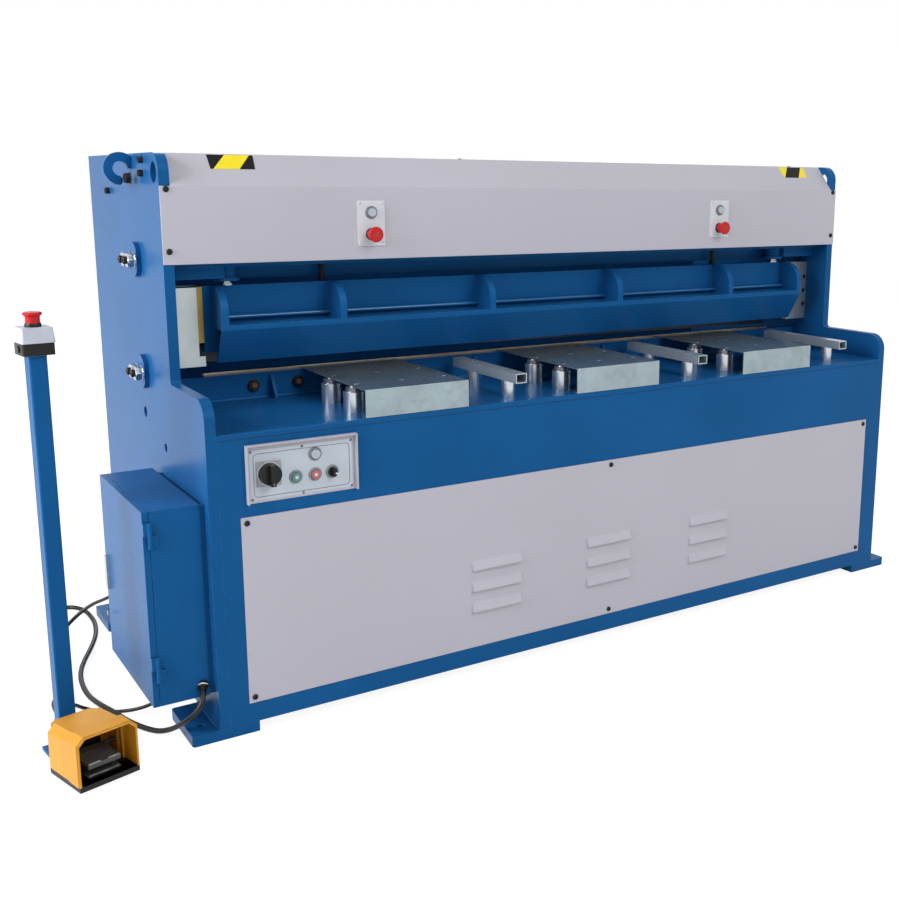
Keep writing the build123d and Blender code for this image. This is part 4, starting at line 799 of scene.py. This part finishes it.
make_piece("gland_ring", [turned(((14.5, -0.6), (14.5, 1.6), (13, 2.6), (9.4, 2.6)), POWER_GLAND,
                                 POWER_LEAN, 32)], screw_steel, "frame")
post_rear = at_post(0, 19, 0)
power_points = (from_gland(POWER_GLAND, POWER_LEAN, 16)
                + [(-1177, -498, 101), (-1188, -496, 84), (-1204, -481, 64), (-1219, -446, 38),
                   (-1233, -412, 18), (-1252, -386, 9), (-1276, -345, 8.5), (-1300, -298, 13),
                   (-1317.5, -248, 19), (-1337, -180, 17), (-1347, -93, 8), (-1344.5, -3, 8),
                   (-1331, 73, 8), (-1305, 146, 8), (-1273, 219, 8), (-1239.5, 311, 8),
                   (-1222, 404.5, 8), (-1221, 477, 8), (-1227, 532, 8), (-1245, 571, 8),
                   (-1273, 587, 8), (-1301, 584, 8), (-1322, 564, 8), (-1327, 534, 8),
                   (-1328, 472, 8), (-1339, 378, 8), (-1357, 262, 8), (-1381, 142, 8),
                   (-1399, 22, 8), (-1421, -93, 8), (-1435, -193, 8)]
                + from_gland(post_rear + (0, 0, 38), post_back, 42)[::-1])
signal_points = (from_gland(SIGNAL_GLAND, (0, 0, -1), 32)
                 + [(-1227, -282, 34), (-1265, -255, 15), (-1307.5, -219, 5), (-1340, -196, 5),
                    (-1375, -188, 20), (-1400, -208, 45)]
                 + from_gland(post_rear + (0, 0, 84), post_back, 47)[::-1])
stop_points = (from_gland(post_rear + (0, 0, 61), post_back, 45)
               + [(-1444, -196, 60), (-1424, -140, 38), (-1404, -72, 15), (-1381, 22, 6),
                  (-1363, 142, 6), (-1339, 262, 6), (-1320, 378, 6), (-1301, 418, 9),
                  (-1255, 464, 24.5), (-1203, 527, 24.5), (-1160, 585, 10), (-1120, 626, 6),
                  (-1082, 624, 6), (-1060, 592, 9), (-1054, 552, 30)]
               + from_gland(STOP_GLAND, BACK, 48)[::-1])
for name, diameter, points, length in (("power", 13, power_points, 2.166),
                                       ("signal", 9, signal_points, 0.409),
                                       ("stop", 11, stop_points, 1.217)):
    cord = make_cord(name + "_cord", diameter, points, name + "_cable")

# Room
# A pale floor that keeps the machine's shadow, a white surround that gloss and glass show too,
# and three soft lamps at a plain level.
FLOOR_REACH, FLOOR_HEIGHT, FLOOR_GLOW, GLOW_SHARE = 30, -0.0004, 1.25, 0.72
SURROUND_LIGHT = 0.42


def seen_directly(nodes, links):
    """1 for a ray from the camera, off a glossy face or through glass, and 0 for light's own."""
    rays = add_node(nodes, "LightPath")
    camera_or_gloss, any_seen = add_node(nodes, "Math", "MAXIMUM"), add_node(nodes, "Math", "MAXIMUM")
    links.new(rays.outputs["Is Camera Ray"], camera_or_gloss.inputs[0])
    links.new(rays.outputs["Is Glossy Ray"], camera_or_gloss.inputs[1])
    links.new(camera_or_gloss.outputs["Value"], any_seen.inputs[0])
    links.new(rays.outputs["Is Transmission Ray"], any_seen.inputs[1])
    return any_seen.outputs["Value"]


def mix_shaders(nodes, links, share, first, second, output):
    """Leads the first shader into the output, and the second one by the given share."""
    mix = add_node(nodes, "MixShader")
    links.new(share, mix.inputs["Fac"])
    links.new(first, mix.inputs[1])
    links.new(second, mix.inputs[2])
    links.new(mix.outputs["Shader"], nodes[output].inputs["Surface"])


floor_mesh = bpy.data.meshes.new("floor")
floor_mesh.from_pydata([(x * FLOOR_REACH, y * FLOOR_REACH, FLOOR_HEIGHT)
                        for x, y in ((-1, -1), (1, -1), (1, 1), (-1, 1))], [], [(0, 1, 2, 3)])
floor = bpy.data.objects.new("floor", floor_mesh)
scene.collection.objects.link(floor)
floor_material = bpy.data.materials.new("pale floor")
floor_material.use_nodes = True
nodes, links = floor_material.node_tree.nodes, floor_material.node_tree.links
diffuse = nodes["Principled BSDF"]
diffuse.inputs["Base Color"].default_value = (0.82, 0.82, 0.82, 1)
diffuse.inputs["Roughness"].default_value = 0.8
glow = add_node(nodes, "Emission", Strength=FLOOR_GLOW)
share = add_node(nodes, "Math", "MULTIPLY")
share.inputs[1].default_value = GLOW_SHARE
links.new(seen_directly(nodes, links), share.inputs[0])
mix_shaders(nodes, links, share.outputs["Value"], diffuse.outputs["BSDF"], glow.outputs["Emission"],
            "Material Output")
floor_mesh.materials.append(floor_material)

world = bpy.data.worlds.new("surround")
scene.world = world
world.use_nodes = True
nodes, links = world.node_tree.nodes, world.node_tree.links
plain = nodes["Background"]
plain.inputs["Color"].default_value = (1, 1, 1, 1)
plain.inputs["Strength"].default_value = SURROUND_LIGHT
white = add_node(nodes, "Background", Color=(1, 1, 1, 1), Strength=1.0)
mix_shaders(nodes, links, seen_directly(nodes, links), plain.outputs["Background"],
            white.outputs["Background"], "World Output")

for name, spot, aim, size, power in (("left", (-5.0, -0.5, 2.5), (-1.1, 0, 0.8), 2.6, 240),
                                     ("front", (1.2, -5.2, 4.4), (0.2, -0.3, 0.7), 3.4, 168),
                                     ("rear", (1.5, 5.0, 3.6), (0, 0.3, 0.7), 3.0, 110)):
    lamp_data = bpy.data.lights.new(name, "AREA")
    lamp_data.size = size
    lamp_data.energy = power
    lamp = bpy.data.objects.new(name, lamp_data)
    lamp.location = spot
    lamp.rotation_euler = (Vector(aim) - Vector(spot)).to_track_quat("-Z", "Y").to_euler()
    scene.collection.objects.link(lamp)
